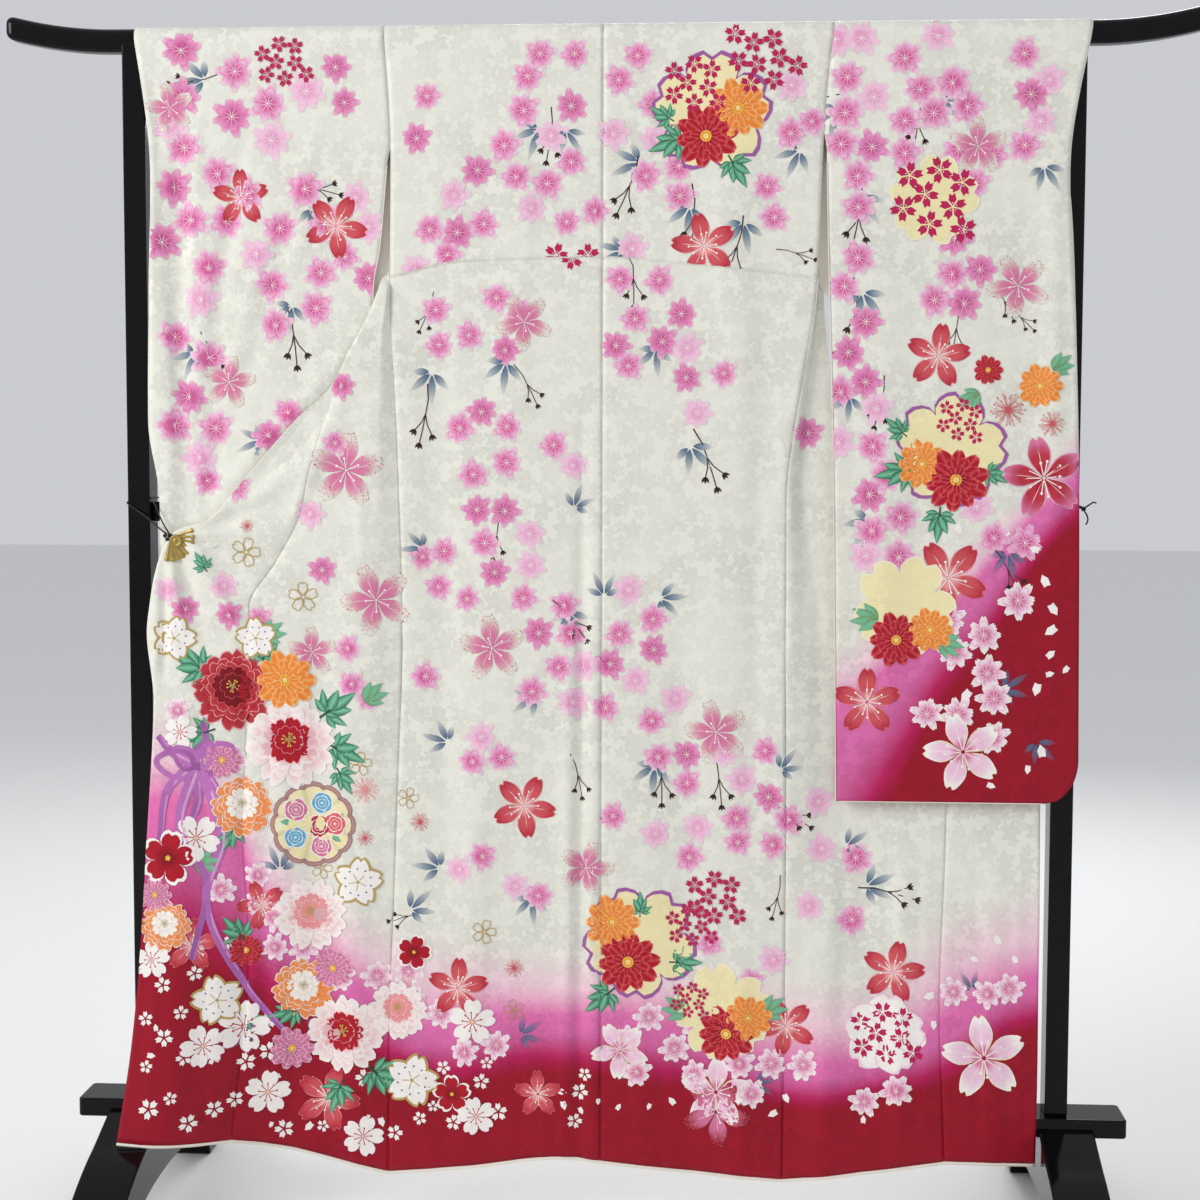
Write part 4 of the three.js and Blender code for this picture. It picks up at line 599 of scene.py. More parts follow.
def silk_material(name, attribute, damask_sheen_depth, roughness, sheen):
    """Satin silk, dyed by a colour attribute, with a woven blossom figure, a fine grain and a soft sheen. The
    figure's shine is also painted into the colour as a darker figure on a lighter ground.
    """
    material, tree, shader = new_material(name)
    place = flat_place(tree)
    dye = node(tree, "ShaderNodeAttribute", attribute_name=attribute).outputs["Color"]
    large = blossom_damask(tree, place, 30, 0.0)
    small = blossom_damask(tree, place, 47, 3.7)
    figure = sums(tree, "MAXIMUM", large, sums(tree, "MULTIPLY", small, 0.8))
    cloud = node(tree, "ShaderNodeTexNoise", inputs={"Vector": place, "Scale": 9.0, "Detail": 3.0})
    patch = node(tree, "ShaderNodeMapRange", inputs={"Value": cloud.outputs["Fac"], "From Min": 0.38,
                                                     "From Max": 0.62, "To Min": 0.35, "To Max": 1.0})
    woven = sums(tree, "MULTIPLY", figure, patch.outputs[0])
    # Painted sheen: the woven figure darkens the dyed colour and lifts the ground, in patches set by the
    # cloud, standing in for the satin's shine. Roughness and bump carry the real weave.
    shade = sums(tree, "MULTIPLY_ADD", woven, -damask_sheen_depth, 1 + damask_sheen_depth * 0.35)
    tint = node(tree, "ShaderNodeVectorMath", operation="SCALE", inputs={0: dye, "Scale": shade})
    tree.links.new(tint.outputs[0], shader.inputs["Base Color"])
    rough = sums(tree, "MULTIPLY_ADD", woven, 0.16, roughness)
    tree.links.new(rough, shader.inputs["Roughness"])
    grain = node(tree, "ShaderNodeTexNoise", inputs={"Vector": place, "Scale": 900.0, "Detail": 2.0})
    height = sums(tree, "MULTIPLY_ADD", woven, 0.5, sums(tree, "MULTIPLY", grain.outputs["Fac"], 0.5))
    bump = node(tree, "ShaderNodeBump", inputs={"Strength": 0.25, "Distance": 0.0003, "Height": height})
    tree.links.new(bump.outputs[0], shader.inputs["Normal"])
    shader.inputs["Sheen Weight"].default_value = sheen
    shader.inputs["Sheen Roughness"].default_value = 0.4
    shader.inputs["Specular IOR Level"].default_value = 0.27
    return material


def lining_material():
    material, tree, shader = new_material("lining_silk")
    place = node(tree, "ShaderNodeNewGeometry").outputs["Position"]
    weave = node(tree, "ShaderNodeTexNoise", inputs={"Vector": place, "Scale": 700.0, "Detail": 2.0})
    tone = node(tree, "ShaderNodeTexNoise", inputs={"Vector": place, "Scale": 5.0, "Detail": 2.0})
    blend = node(tree, "ShaderNodeMix", data_type="RGBA",
                 inputs={"Factor": tone.outputs["Fac"], 6: (*LINING, 1), 7: (*(LINING * 0.93), 1)})
    tree.links.new(blend.outputs[2], shader.inputs["Base Color"])
    bump = node(tree, "ShaderNodeBump",
                inputs={"Strength": 0.2, "Distance": 0.0002, "Height": weave.outputs["Fac"]})
    tree.links.new(bump.outputs[0], shader.inputs["Normal"])
    shader.inputs["Roughness"].default_value = 0.5
    shader.inputs["Sheen Weight"].default_value = 0.2
    return material


def two_toned(name, texture, tones, rough=None, bump=None, numbers=(), **settings):
    """A material whose tint, and roughness and bump where given, follow one texture of the place."""
    material, tree, shader = new_material(name)
    place = node(tree, "ShaderNodeNewGeometry").outputs["Position"]
    inputs = dict(settings.pop("inputs"), Vector=place)
    height = node(tree, texture, inputs=inputs, **settings).outputs["Fac"]
    tint = node(tree, "ShaderNodeMix", data_type="RGBA",
                inputs={"Factor": height, 6: (*tones[0], 1), 7: (*tones[1], 1)})
    tree.links.new(tint.outputs[2], shader.inputs["Base Color"])
    if rough:
        spread = node(tree, "ShaderNodeMapRange",
                      inputs={"Value": height, "To Min": rough[0], "To Max": rough[1]})
        tree.links.new(spread.outputs[0], shader.inputs["Roughness"])
    if bump:
        raised = node(tree, "ShaderNodeBump",
                      inputs={"Strength": bump[0], "Distance": bump[1], "Height": height})
        tree.links.new(raised.outputs[0], shader.inputs["Normal"])
    for socket, value in numbers:
        shader.inputs[socket].default_value = value
    return material


SILK = silk_material("furisode_silk", "dye", 0.15, 0.42, 0.12)
PRINT = silk_material("printed_silk", "print", 0.07, 0.46, 0.08)
PLAIN_LINING = lining_material()
LACQUER = two_toned(
    "black_lacquer", "ShaderNodeTexNoise", ((0.002, 0.002, 0.0025), (0.005, 0.0045, 0.005)),
    rough=(0.05, 0.12), bump=(0.06, 0.0005), numbers=[("Specular IOR Level", 0.17)],
    inputs={"Scale": 40.0, "Detail": 3.0})
BRASS = two_toned(
    "aged_brass", "ShaderNodeTexNoise", ((0.20, 0.13, 0.03), (0.62, 0.45, 0.15)),
    rough=(0.5, 0.28), bump=(0.3, 0.0002), numbers=[("Metallic", 0.85)],
    inputs={"Scale": 160.0, "Detail": 4.0})
CORD = two_toned(
    "black_cord", "ShaderNodeTexWave", ((0.006, 0.006, 0.006), (0.03, 0.03, 0.032)),
    bump=(0.6, 0.0003), numbers=[("Roughness", 0.85)], bands_direction="DIAGONAL",
    inputs={"Scale": 450.0, "Distortion": 1.5})


# ---- Mesh makers


def mesh_object(name, points, faces, materials, smooth=True):
    """An object at the origin whose points are in millimetres."""
    mesh = bpy.data.meshes.new(name)
    mesh.from_pydata([tuple(p) for p in np.asarray(points, float) * MM], [], faces)
    for material in materials:
        mesh.materials.append(material)
    mesh.update()
    if smooth:
        mesh.shade_smooth()
    made = bpy.data.objects.new(name, mesh)
    bpy.context.collection.objects.link(made)
    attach(made, "root")
    return made


def set_colors(made, name, colors):
    layer = made.data.color_attributes.new(name, "FLOAT_COLOR", "POINT")
    rgba = np.concatenate([colors, np.ones((len(colors), 1))], axis=1)
    layer.data.foreach_set("color", rgba.ravel())


def grid_points(name):
    """A panel's middle points and unit normals, rows by columns."""
    panel = PANELS[name]
    u, v = np.meshgrid(panel["columns"], panel["rows"])
    points = np.stack(np.broadcast_arrays(*SURFACES[name](u, v)), axis=-1)
    across = np.gradient(points, axis=1)
    along = np.gradient(points, axis=0)
    normal = np.cross(across, along)
    return points, normal / np.linalg.norm(normal, axis=-1, keepdims=True)


def grid_faces(rows, columns, flip):
    """Quads of a grid, turned over if flip is set."""
    j, i = np.meshgrid(np.arange(rows - 1), np.arange(columns - 1), indexing="ij")
    a = (j * columns + i).ravel()
    quads = np.stack([a, a + 1, a + 1 + columns, a + columns], axis=1)
    return quads[:, ::-1] if flip else quads


OUTER = {}


def make_panel(name):
    panel = PANELS[name]
    middle, normal = grid_points(name)
    rows, columns = middle.shape[:2]
    outward = normal * panel["outer"]
    front = (middle + outward * CLOTH / 2).reshape(-1, 3)
    back = (middle - outward * CLOTH / 2).reshape(-1, 3)
    count = rows * columns
    flip = panel["outer"] < 0
    outer_faces = grid_faces(rows, columns, flip)
    inner_faces = grid_faces(rows, columns, not flip) + count
    ring = np.concatenate([
        np.arange(columns), np.arange(1, rows) * columns + columns - 1,
        (rows - 1) * columns + np.arange(columns - 2, -1, -1), np.arange(rows - 2, 0, -1) * columns])
    after = np.roll(ring, -1)
    rim = np.stack([after, ring, ring + count, after + count], axis=1)
    rim = rim[:, ::-1] if flip else rim
    faces = np.concatenate([outer_faces, inner_faces, rim])
    made = mesh_object(name + "_silk", np.concatenate([front, back]), faces.tolist(), [SILK, PLAIN_LINING])
    lined = np.zeros(len(faces), int)
    lined[len(outer_faces):len(outer_faces) + len(inner_faces)] = 1
    made.data.polygons.foreach_set("material_index", lined)
    amount = dye_amount(name, front[:, 0], front[:, 2])
    set_colors(made, "dye", np.tile(ramp(amount, DYE_STOPS), (2, 1)))
    OUTER[name] = (front, outer_faces)
    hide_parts(name)


def cloth_area(points):
    """Area of a grid of points, in square metres."""
    across = np.diff(points, axis=1)[:-1]
    along = np.diff(points, axis=0)[:, :-1]
    return float(np.linalg.norm(np.cross(across, along), axis=-1).sum()) * MM * MM


PIPED = {"sleeve_left": "piping_left", "sleeve_right": "piping_right"}


def declare_panel(name):
    """Works out the cloth area of a panel, in square metres."""
    area = cloth_area(grid_points(name)[0])


# ---- Lofts, tubes and the pieces on the cloth


def closed(name, points, faces, material, replaced, slot, sharp=None):
    """A closed solid with its faces turned out, which stands for a node."""
    made = mesh_object(name, points, faces, [material])
    work = bmesh.new()
    work.from_mesh(made.data)
    bmesh.ops.recalc_face_normals(work, faces=work.faces)
    work.to_mesh(made.data)
    work.free()
    if sharp:
        made.data.set_sharp_from_angle(angle=math.radians(sharp))
    for node_name in replaced:
        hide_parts(node_name)
    return made


def loft_faces(rings):
    """Sides and two end caps of a loft through rings of points."""
    count, size = rings.shape[:2]
    j, i = np.meshgrid(np.arange(count - 1), np.arange(size), indexing="ij")
    a = (j * size + i).ravel()
    b = (j * size + (i + 1) % size).ravel()
    sides = np.stack([a, b, b + size, a + size], axis=1).tolist()
    return sides + [list(range(size)), list(range((count - 1) * size, count * size))]


def loft(name, rings, material, replaced, slot, sharp=None):
    points = np.asarray(rings, float)
    return closed(name, points.reshape(-1, 3), loft_faces(points), material, replaced, slot, sharp)


def unit(vectors):
    return vectors / np.linalg.norm(vectors, axis=-1, keepdims=True)


BRAID_RELIEF = 0.09


def tube_rings(line, radius, sides, ridges=0, turns=0):
    """Rings round a line, with lengthways ridges that wind round it for a braid."""
    line = np.asarray(line, float)
    ahead = unit(np.gradient(line, axis=0))
    side = np.cross(ahead[0], (0.3, 0.2, 1.0))
    rings = []
    angle = np.arange(sides) * 2 * np.pi / sides
    for i, place in enumerate(line):
        side = side - ahead[i] * np.dot(side, ahead[i])
        side = side / np.linalg.norm(side)
        other = np.cross(ahead[i], side)
        wind = turns * 2 * np.pi * i / len(line)
        reach = radius * (1 + BRAID_RELIEF * (ridges > 0) * np.cos(ridges * angle + wind))
        rings.append(place + np.outer(reach * np.cos(angle), side) + np.outer(reach * np.sin(angle), other))
    return np.array(rings)


def curve(points, steps):
    """A centripetal Catmull-Rom line, as the solids have."""
    p = np.asarray(points, float)
    p = np.concatenate([[2 * p[0] - p[1]], p, [2 * p[-1] - p[-2]]])
    out = []
    for i in range(1, len(p) - 2):
        gaps = [max(math.sqrt(math.dist(p[i + k], p[i + k - 1])), 1e-4) for k in (0, 1, 2)]
        first = (p[i] - p[i - 1]) / gaps[0] - (p[i + 1] - p[i - 1]) / (gaps[0] + gaps[1])
        first = (first + (p[i + 1] - p[i]) / gaps[1]) * gaps[1]
        last = (p[i + 1] - p[i]) / gaps[1] - (p[i + 2] - p[i]) / (gaps[1] + gaps[2])
        last = (last + (p[i + 2] - p[i + 1]) / gaps[2]) * gaps[1]
        t = np.linspace(0, 1, steps, endpoint=False)[:, None]
        rise = p[i + 1] - p[i]
        out.append(p[i] + first * t + (3 * rise - 2 * first - last) * t**2 + (first + last - 2 * rise) * t**3)
    return np.concatenate(out + [p[-2:-1]])


COLLAR_THICKNESS = 3
COLLAR_STEPS = 12
COLLAR_SIDES = 24
COLLAR_FACE_POWER = 0.35
COLLAR_EDGE_POWER = 0.6


def flattened(wave, power):
    """A wave drawn out towards its crests, which squares off a round section."""
    return np.abs(wave) ** power * np.sign(wave)


def make_collar():
    """The collar band: a flat tube of doubled cloth, a little full at its fold."""
    rows = dict(COLLAR, at=np.arange(len(COLLAR["x"]), dtype=float))
    last = len(COLLAR["x"]) - 1
    at = np.linspace(0, last, COLLAR_STEPS * last + 1)
    read = {key: track(rows, "at", key)(at) for key in COLLAR}
    centre = np.stack([read["x"], read["y"], read["z"]], axis=1)
    ahead = unit(np.gradient(centre, axis=0))
    side = np.stack([read["side_x"], read["side_y"], read["side_z"]], axis=1)
    side = unit(side - ahead * (side * ahead).sum(axis=1, keepdims=True))
    face = np.cross(ahead, side)
    turn = np.linspace(0, 2 * np.pi, COLLAR_SIDES, endpoint=False)
    half = read["width"][:, None, None] / 2 * flattened(np.cos(turn), COLLAR_FACE_POWER)[None, :, None]
    full = COLLAR_THICKNESS / 2 * flattened(np.sin(turn), COLLAR_EDGE_POWER)[None, :, None]
    rings = centre[:, None] + side[:, None] * half + face[:, None] * full
    made = loft("collar_silk", rings, SILK, ["collar"], "silk")
    points = rings.reshape(-1, 3)
    sides = np.array(loft_faces(rings)[:-2])
    OUTER["collar"] = (points, sides[:, ::-1])
    set_colors(made, "dye", ramp(dye_amount("collar", points[:, 0], points[:, 2]), DYE_STOPS))


def edge_line(name, u, v):
    """A line on a panel's middle surface."""
    return np.stack(np.broadcast_arrays(*SURFACES[name](np.asarray(u, float), np.asarray(v, float))), axis=-1)


def make_hem_roll():
    order = (("okumi_left", 1, 0), ("front_left", 1, 0), ("back_left", 0, 1),
             ("back_right", 1, 0), ("front_right", 0, 1), ("okumi_right", 0, 1))
    line = np.concatenate([edge_line(name, np.linspace(a, b, 24), np.ones(24))[:-1] for name, a, b in order])
    line = np.concatenate([line, edge_line("okumi_right", [1], [1])])
    line[:, 2] -= JOINT_GAP + HEM_ROLL_RADIUS
    wave = 1 + 0.12 * np.sin(np.arange(len(line)) * 0.9) + 0.06 * np.sin(np.arange(len(line)) * 2.3)
    rings = tube_rings(line, HEM_ROLL_RADIUS, 12)
    rings = line[:, None] + (rings - line[:, None]) * np.minimum(wave, 1)[:, None, None]
    return loft("hem_roll_silk", rings, PLAIN_LINING, ["hem_roll"], "lining")


PIPING_RADIUS = 0.75
PIPING_FROM = 0.72


def make_piping(name, panel):
    """The rolled white edge that shows along a sleeve's open side and its bottom."""
    down = np.linspace(PIPING_FROM, 1, 90)
    side = edge_line(panel, 0 * down, down)
    across = np.linspace(0, 1, 40)[1:]
    bottom = edge_line(panel, across, 0 * across + 1)
    line = np.concatenate([side, bottom])
    line[:, 1] -= CLOTH / 2 + PIPING_RADIUS * 0.4
    loft(name, tube_rings(line, PIPING_RADIUS, 8), PLAIN_LINING, [], "lining")


def off_knot(knot, distance, *parts):
    return tuple(np.array(knot) + distance * np.array(parts) / np.linalg.norm(parts))


JOINT_GAP = 0.3
KNOT_LEFT = (-610.5, -37.8, 1001.1)
KNOT_RIGHT = (682.4, -13.4, 1043.6)
KNOT_RADIUS = 3.6
BALL_RADIUS = 3
CORD_RADIUS = 1.1
CORD_SEAT = KNOT_RADIUS + JOINT_GAP / 2
BALL_SEAT = KNOT_RADIUS + BALL_RADIUS
CORD_LEFT = [
    off_knot(KNOT_LEFT, CORD_SEAT, -0.35, 0.3, 0.9),
    (-615.4, -36.2, 1010), (-620, -36, 1018), (-626, -34.5, 1030), (-633, -30.4, 1044), (-639, -25.5, 1051),
    (-640.8, -18, 1053), (-641, 0, 1053.5), (-641, 17, 1053.5), (-644.5, 23.6, 1053), (-659, 24.4, 1052),
    (-673, 23.8, 1051), (-676.9, 18, 1050), (-677, 0, 1049), (-676.8, -18, 1047), (-673.5, -24.2, 1045),
    (-661, -28, 1037), (-644, -33.5, 1026), (-630, -37, 1015), (-620, -38.6, 1007),
    off_knot(KNOT_LEFT, CORD_SEAT, -0.85, -0.1, 0.5)]
CORD_RIGHT = [
    off_knot(KNOT_RIGHT, CORD_SEAT, -0.6, -0.6, 0.5),
    (678, -18, 1047), (676.2, -20.8, 1047.6), (672, -23.3, 1048), (659, -23.5, 1049), (646, -23.4, 1050),
    (641.3, -19, 1051), (641, 0, 1051.5), (641.3, 19, 1051), (646, 23.8, 1050), (659, 24.4, 1049),
    (672, 23.8, 1048), (676.9, 19, 1047), (677, 2, 1046), (678.4, -6, 1045),
    off_knot(KNOT_RIGHT, CORD_SEAT, -0.45, 0.85, 0.2)]
CORD_END_UPPER = [
    off_knot(KNOT_RIGHT, CORD_SEAT, 0.7, -0.4, 0.6),
    (687.6, -17, 1048), (691, -19, 1050.6), (695, -20, 1053), (699, -21, 1052)]
CORD_END_LOWER = [
    off_knot(KNOT_RIGHT, CORD_SEAT, 0.3, -0.5, -0.8),
    (685.6, -18, 1036.6), (687, -20, 1033), (687, -22, 1027), (684.5, -23, 1022)]


def make_cord(name, route):
    line = curve(route, 10)
    return loft(name + "_braid", tube_rings(line, CORD_RADIUS, 12, 3, len(line) / 9), CORD, [name], "cord")


def make_knot(name, centre):
    """Three turns of the cord drawn up into a ball."""
    t = np.linspace(0, 2 * np.pi, 90)
    reach = 1.75 + 0.75 * np.cos(3 * t)
    line = np.stack([reach * np.cos(2 * t), 1.1 * np.sin(3 * t), reach * np.sin(2 * t)], axis=1)
    return loft(name + "_braid", tube_rings(line + np.array(centre), CORD_RADIUS, 10), CORD, [name], "cord")


WOUND_RELIEF = 0.05


def make_ball(name, centre):
    """A ball of wound cord."""
    rows, size = 17, 28
    tilt = np.linspace(0.02, np.pi - 0.02, rows)
    turn = np.linspace(0, 2 * np.pi, size, endpoint=False)
    reach = BALL_RADIUS * (1 - WOUND_RELIEF * (1 + np.cos(7 * tilt[:, None] + turn[None]))[..., None] / 2)
    across = np.stack([np.cos(turn), np.sin(turn), 0 * turn], axis=1)
    ball = np.sin(tilt)[:, None, None] * across[None] + np.cos(tilt)[:, None, None] * np.array([0, 0, 1.0])
    return loft(name + "_wound", np.array(centre) + reach * ball, CORD, [name], "cord")


FAN_AT = (-609, -36.9, 998)
FAN_RADIUS = 35
FAN_ROOT = 2
FAN_FROM = 24
FAN_SWEEP = -132
FAN_THICKNESS = 1.6
FAN_FLUTE = 0.9
FAN_RIBS = 9
FAN_REACHES = (0, 0.12, 0.3, 0.5, 0.7, 0.86, 0.9, 0.97, 1)
# The hub's turned outline: depth and radius.
HUB_PROFILE = ((1.2, 8.6), (0.6, 9.0), (-0.3, 9.0), (-1.0, 8.2), (-1.0, 6.2), (-0.6, 5.6), (-0.6, 3.4),
               (-1.2, 2.6), (-1.2, 0.3))
HUB_AT = (-601, -39.4, 993)


def make_fan():
    """A small folded fan of pleated brass leaf, ribbed, with a rim along its edge."""
    u, v = np.meshgrid(np.linspace(0, 1, FAN_RIBS * 10 + 1), np.array(FAN_REACHES))
    turn = np.radians(FAN_FROM + FAN_SWEEP * u)
    wave = np.cos(2 * np.pi * FAN_RIBS * u)
    reach = mix(FAN_ROOT, FAN_RADIUS - 0.5 * (1 + wave), v)
    rim = 0.25 * ((v > 0.87) & (v < 0.99))
    flute = FAN_FLUTE * v * np.sign(wave) * np.abs(wave) ** 0.8
    x, y, z = FAN_AT
    middle = np.stack([x + reach * np.cos(turn), y + flute, z + reach * np.sin(turn)], axis=-1)
    rings = []
    for row_front, row_rim in zip(middle.transpose(1, 0, 2), rim.T):
        depth = np.stack([0 * row_rim, FAN_THICKNESS / 2 + row_rim, 0 * row_rim], axis=1)
        rings.append(np.concatenate([row_front - depth, (row_front + depth)[::-1]]))
    return loft("fan_leaf", rings, BRASS, ["fan_clip"], "brass", 40)


def make_hub():
    """A turned disc with a raised boss."""
    turn = np.linspace(0, 2 * np.pi, 36, endpoint=False)
    x, y, z = HUB_AT
    rings = [np.stack([x + r * np.cos(turn), y + deep + 0 * turn, z + r * np.sin(turn)], axis=1)
             for deep, r in HUB_PROFILE]
    return loft("fan_disc", rings, BRASS, ["fan_hub"], "brass", 50)


# ---- Stand
BAR_TOP = 1719
BAR_HEIGHT = 34
BAR_DEPTH = 28
BAR_HALF_LENGTH = 845
BAR_RISE = 21
BAR_RISE_START = 690
BAR_END = 12
BAR_EDGE = 5
POST_INNER = 643
POST_WIDTH = 32
POST_DEPTH = 44
POST_TOP = 1695
RAIL_MIDDLE = 1034
RAIL_HEIGHT = 28
RAIL_DEPTH = 15
BLOCK_OUTER = 757
BLOCK_INNER = 563
BLOCK_DEPTH = 74
BLOCK_TOP = 177
BLOCK_BOTTOM = 150
BLOCK_CORNER = 7
FOOT_INNER = 632
FOOT_WIDTH = 78
FOOT_TOP = ((37.3, 149.7), (37.3, 163), (60, 155), (85, 146), (118, 134), (150, 124), (190, 108), (222, 92),
            (252, 70), (275, 44), (290, 16), (296, 0))
FOOT_UNDER = ((238, 0), (228, 18), (205, 36), (165, 52), (115, 62), (60, 68), (0, 70))


def make_bar():
    round_top = np.linspace(0, np.pi, 25)
    reach = BAR_DEPTH / 2
    low = BAR_HEIGHT - reach
    soft = BAR_EDGE
    turn = np.linspace(0, np.pi / 2, 7)
    left = np.stack([-reach + soft - soft * np.cos(turn), soft - low - soft * np.sin(turn)], axis=1)
    right = np.stack([reach - soft + soft * np.sin(turn), soft - low - soft * np.cos(turn)], axis=1)
    arch = np.stack([reach * np.cos(round_top), reach * np.sin(round_top)], axis=1)
    section = np.concatenate([arch, left, right])
    centre = BAR_TOP - BAR_HEIGHT / 2
    lift = reach - BAR_HEIGHT / 2
    plain = BAR_HALF_LENGTH - BAR_END
    rounded = BAR_HALF_LENGTH - BAR_END * (1 - np.sin(np.linspace(0.1, 1, 9) * np.pi / 2))
    half = np.concatenate([np.linspace(0, plain, 60), rounded])
    along = np.concatenate([-half[::-1], half[1:]])
    rings = []
    for x in along:
        rise = BAR_RISE * (max(abs(x) - BAR_RISE_START, 0) / (BAR_HALF_LENGTH - BAR_RISE_START)) ** 2
        near = max((abs(x) - plain) / BAR_END, 0)
        scale = 0.5 + 0.5 * math.sqrt(max(1 - near * near, 0))
        y = scale * section[:, 0]
        z = centre + rise + scale * (section[:, 1] - lift)
        rings.append(np.stack([0 * y + x, y, z], axis=1))
    return loft("bar_lacquer", rings, LACQUER, ["bar"], "lacquer", 50)


def bevelled(name, outline, axis, start, width, bevel, replaced):
    """An outline in two axes drawn out along the third, with rounded edges."""
    flat = np.asarray(outline, float)
    count = len(flat)
    ends = []
    for value in (start, start + width):
        ends.append(np.insert(flat, axis, value, axis=1))
    faces = [list(range(count)), list(range(count, 2 * count))]
    faces += [[i, (i + 1) % count, (i + 1) % count + count, i + count] for i in range(count)]
    made = mesh_object(name, np.concatenate(ends), faces, [LACQUER])
    work = bmesh.new()
    work.from_mesh(made.data)
    bmesh.ops.recalc_face_normals(work, faces=work.faces)
    sharp = [edge for edge in work.edges if edge.calc_face_angle(0) > math.radians(40)]
    bmesh.ops.bevel(work, geom=sharp, offset=bevel * MM, segments=3, profile=0.5, affect="EDGES")
    work.to_mesh(made.data)
    work.free()
    made.data.shade_smooth()
    made.data.set_sharp_from_angle(angle=math.radians(35))
    made.modifiers.new("even_normals", "WEIGHTED_NORMAL").keep_sharp = True
    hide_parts(replaced)
    return made


def make_post(side, sign):
    face = POST_DEPTH / 2
    slot = BAR_DEPTH / 2 + JOINT_GAP
    floor = BAR_TOP - BAR_HEIGHT - JOINT_GAP
    low = BLOCK_TOP + JOINT_GAP
    outline = [(-face, low), (face, low), (face, POST_TOP), (slot, POST_TOP), (slot, floor), (-slot, floor),
               (-slot, POST_TOP), (-face, POST_TOP)]
    start = POST_INNER if sign > 0 else -POST_INNER - POST_WIDTH
    return bevelled("post_" + side + "_lacquer", outline, 0, start, POST_WIDTH, 2, "post_" + side)


def make_rail():
    half, top = RAIL_DEPTH / 2, RAIL_HEIGHT / 2
    outline = [(-half, RAIL_MIDDLE - top), (half, RAIL_MIDDLE - top), (half, RAIL_MIDDLE + top),
               (-half, RAIL_MIDDLE + top)]
    length = POST_INNER - JOINT_GAP
    return bevelled("rail_lacquer", outline, 0, -length, 2 * length, 1.2, "rail")


def make_block(side, sign):
    across = (BLOCK_OUTER - BLOCK_INNER) / 2 - BLOCK_CORNER
    deep = BLOCK_DEPTH / 2 - BLOCK_CORNER
    outline = []
    for i, (way_x, way_y) in enumerate(((1, 1), (-1, 1), (-1, -1), (1, -1))):
        for turn in np.linspace(i * np.pi / 2, (i + 1) * np.pi / 2, 8):
            x = sign * (BLOCK_INNER + BLOCK_OUTER) / 2 + way_x * across + BLOCK_CORNER * math.cos(turn)
            outline.append((x, way_y * deep + BLOCK_CORNER * math.sin(turn)))
    return bevelled("block_" + side + "_lacquer", outline, 2, BLOCK_BOTTOM, BLOCK_TOP - BLOCK_BOTTOM, 2.5,
                    "block_" + side)


def make_foot(side, sign):
    """An arched foot: rounded shoulders beside the block, and a sweep down to each toe."""
    top = np.concatenate([FOOT_TOP[:1], curve([(y, z, 0) for y, z in FOOT_TOP[1:]], 5)[:, :2]])
    under = curve([(y, z, 0) for y, z in FOOT_UNDER], 5)[:, :2]
    half = np.concatenate([top, under])
    half[:, 1] = np.maximum(half[:, 1], 0)
    outline = np.concatenate([half, (half * (-1, 1))[-2::-1]])
    start = FOOT_INNER if sign > 0 else -FOOT_INNER - FOOT_WIDTH
    return bevelled("foot_" + side + "_lacquer", outline, 0, start, FOOT_WIDTH, 3, "foot_" + side)


# ---- Build

for panel_name in PANELS:
    make_panel(panel_name)
make_collar()
make_hem_roll()
for sleeve_name, piping_name in PIPED.items():
    make_piping(piping_name, sleeve_name)
make_fan()
make_hub()
for cord_name, cord_route in (("cord_left", CORD_LEFT), ("cord_right", CORD_RIGHT),
                              ("cord_end_upper", CORD_END_UPPER), ("cord_end_lower", CORD_END_LOWER)):
    make_cord(cord_name, cord_route)
make_knot("knot_left", KNOT_LEFT)
make_knot("knot_right", KNOT_RIGHT)
make_ball("ball_upper", off_knot(KNOT_LEFT, BALL_SEAT, -1, 0, -0.1))
make_ball("ball_lower", off_knot(KNOT_LEFT, BALL_SEAT, -0.5, -0.35, -1))
make_bar()
make_rail()
for side_name, way in (("left", -1), ("right", 1)):
    make_post(side_name, way)
    make_block(side_name, way)
    make_foot(side_name, way)

# ---- Motifs of the print
# A motif is flat: points in units of its radius, with colours, heights in layers, and how far they fade.
CORAL = srgb(208, 84, 92)
CORAL_DEEP = srgb(186, 52, 68)
CORAL_PALE = srgb(236, 150, 150)
BLOSSOM = srgb(232, 158, 196)
BLOSSOM_ROSE = srgb(224, 132, 180)
BLOSSOM_PALE = srgb(240, 196, 218)
BLOSSOM_HEART = srgb(214, 98, 154)
DUSTY = srgb(214, 118, 156)
ROSY_WHITE = srgb(236, 186, 190)
WHITE = srgb(246, 240, 234)
CREAM = srgb(240, 228, 176)
VIOLET = srgb(158, 92, 158)
LILAC = srgb(196, 120, 190)
RED = srgb(172, 18, 40)
RED_DEEP = srgb(120, 6, 26)
RED_PALE = srgb(224, 96, 100)
ORANGE = srgb(236, 132, 52)
ORANGE_PALE = srgb(250, 196, 130)
GOLD = srgb(186, 158, 92)
YELLOW = srgb(238, 190, 70)
GREEN = srgb(28, 128, 92)
GREEN_DEEP = srgb(10, 84, 66)
GREEN_PALE = srgb(120, 188, 150)
OLIVE = srgb(122, 140, 70)
SLATE = srgb(84, 118, 152)
TINY_RED = srgb(186, 32, 84)
TWIG = srgb(66, 44, 40)
SKY = srgb(96, 170, 208)


def motif(points, faces, colors, fade=0.0):
    """fade is how far each point's colour melts into the cloth under it."""
    points = np.asarray(points, float)
    return {"points": points, "faces": np.asarray(faces, int),
            "colors": np.broadcast_to(colors, (len(points), 3)),
            "lift": np.zeros(len(points)), "fade": np.broadcast_to(fade, len(points))}


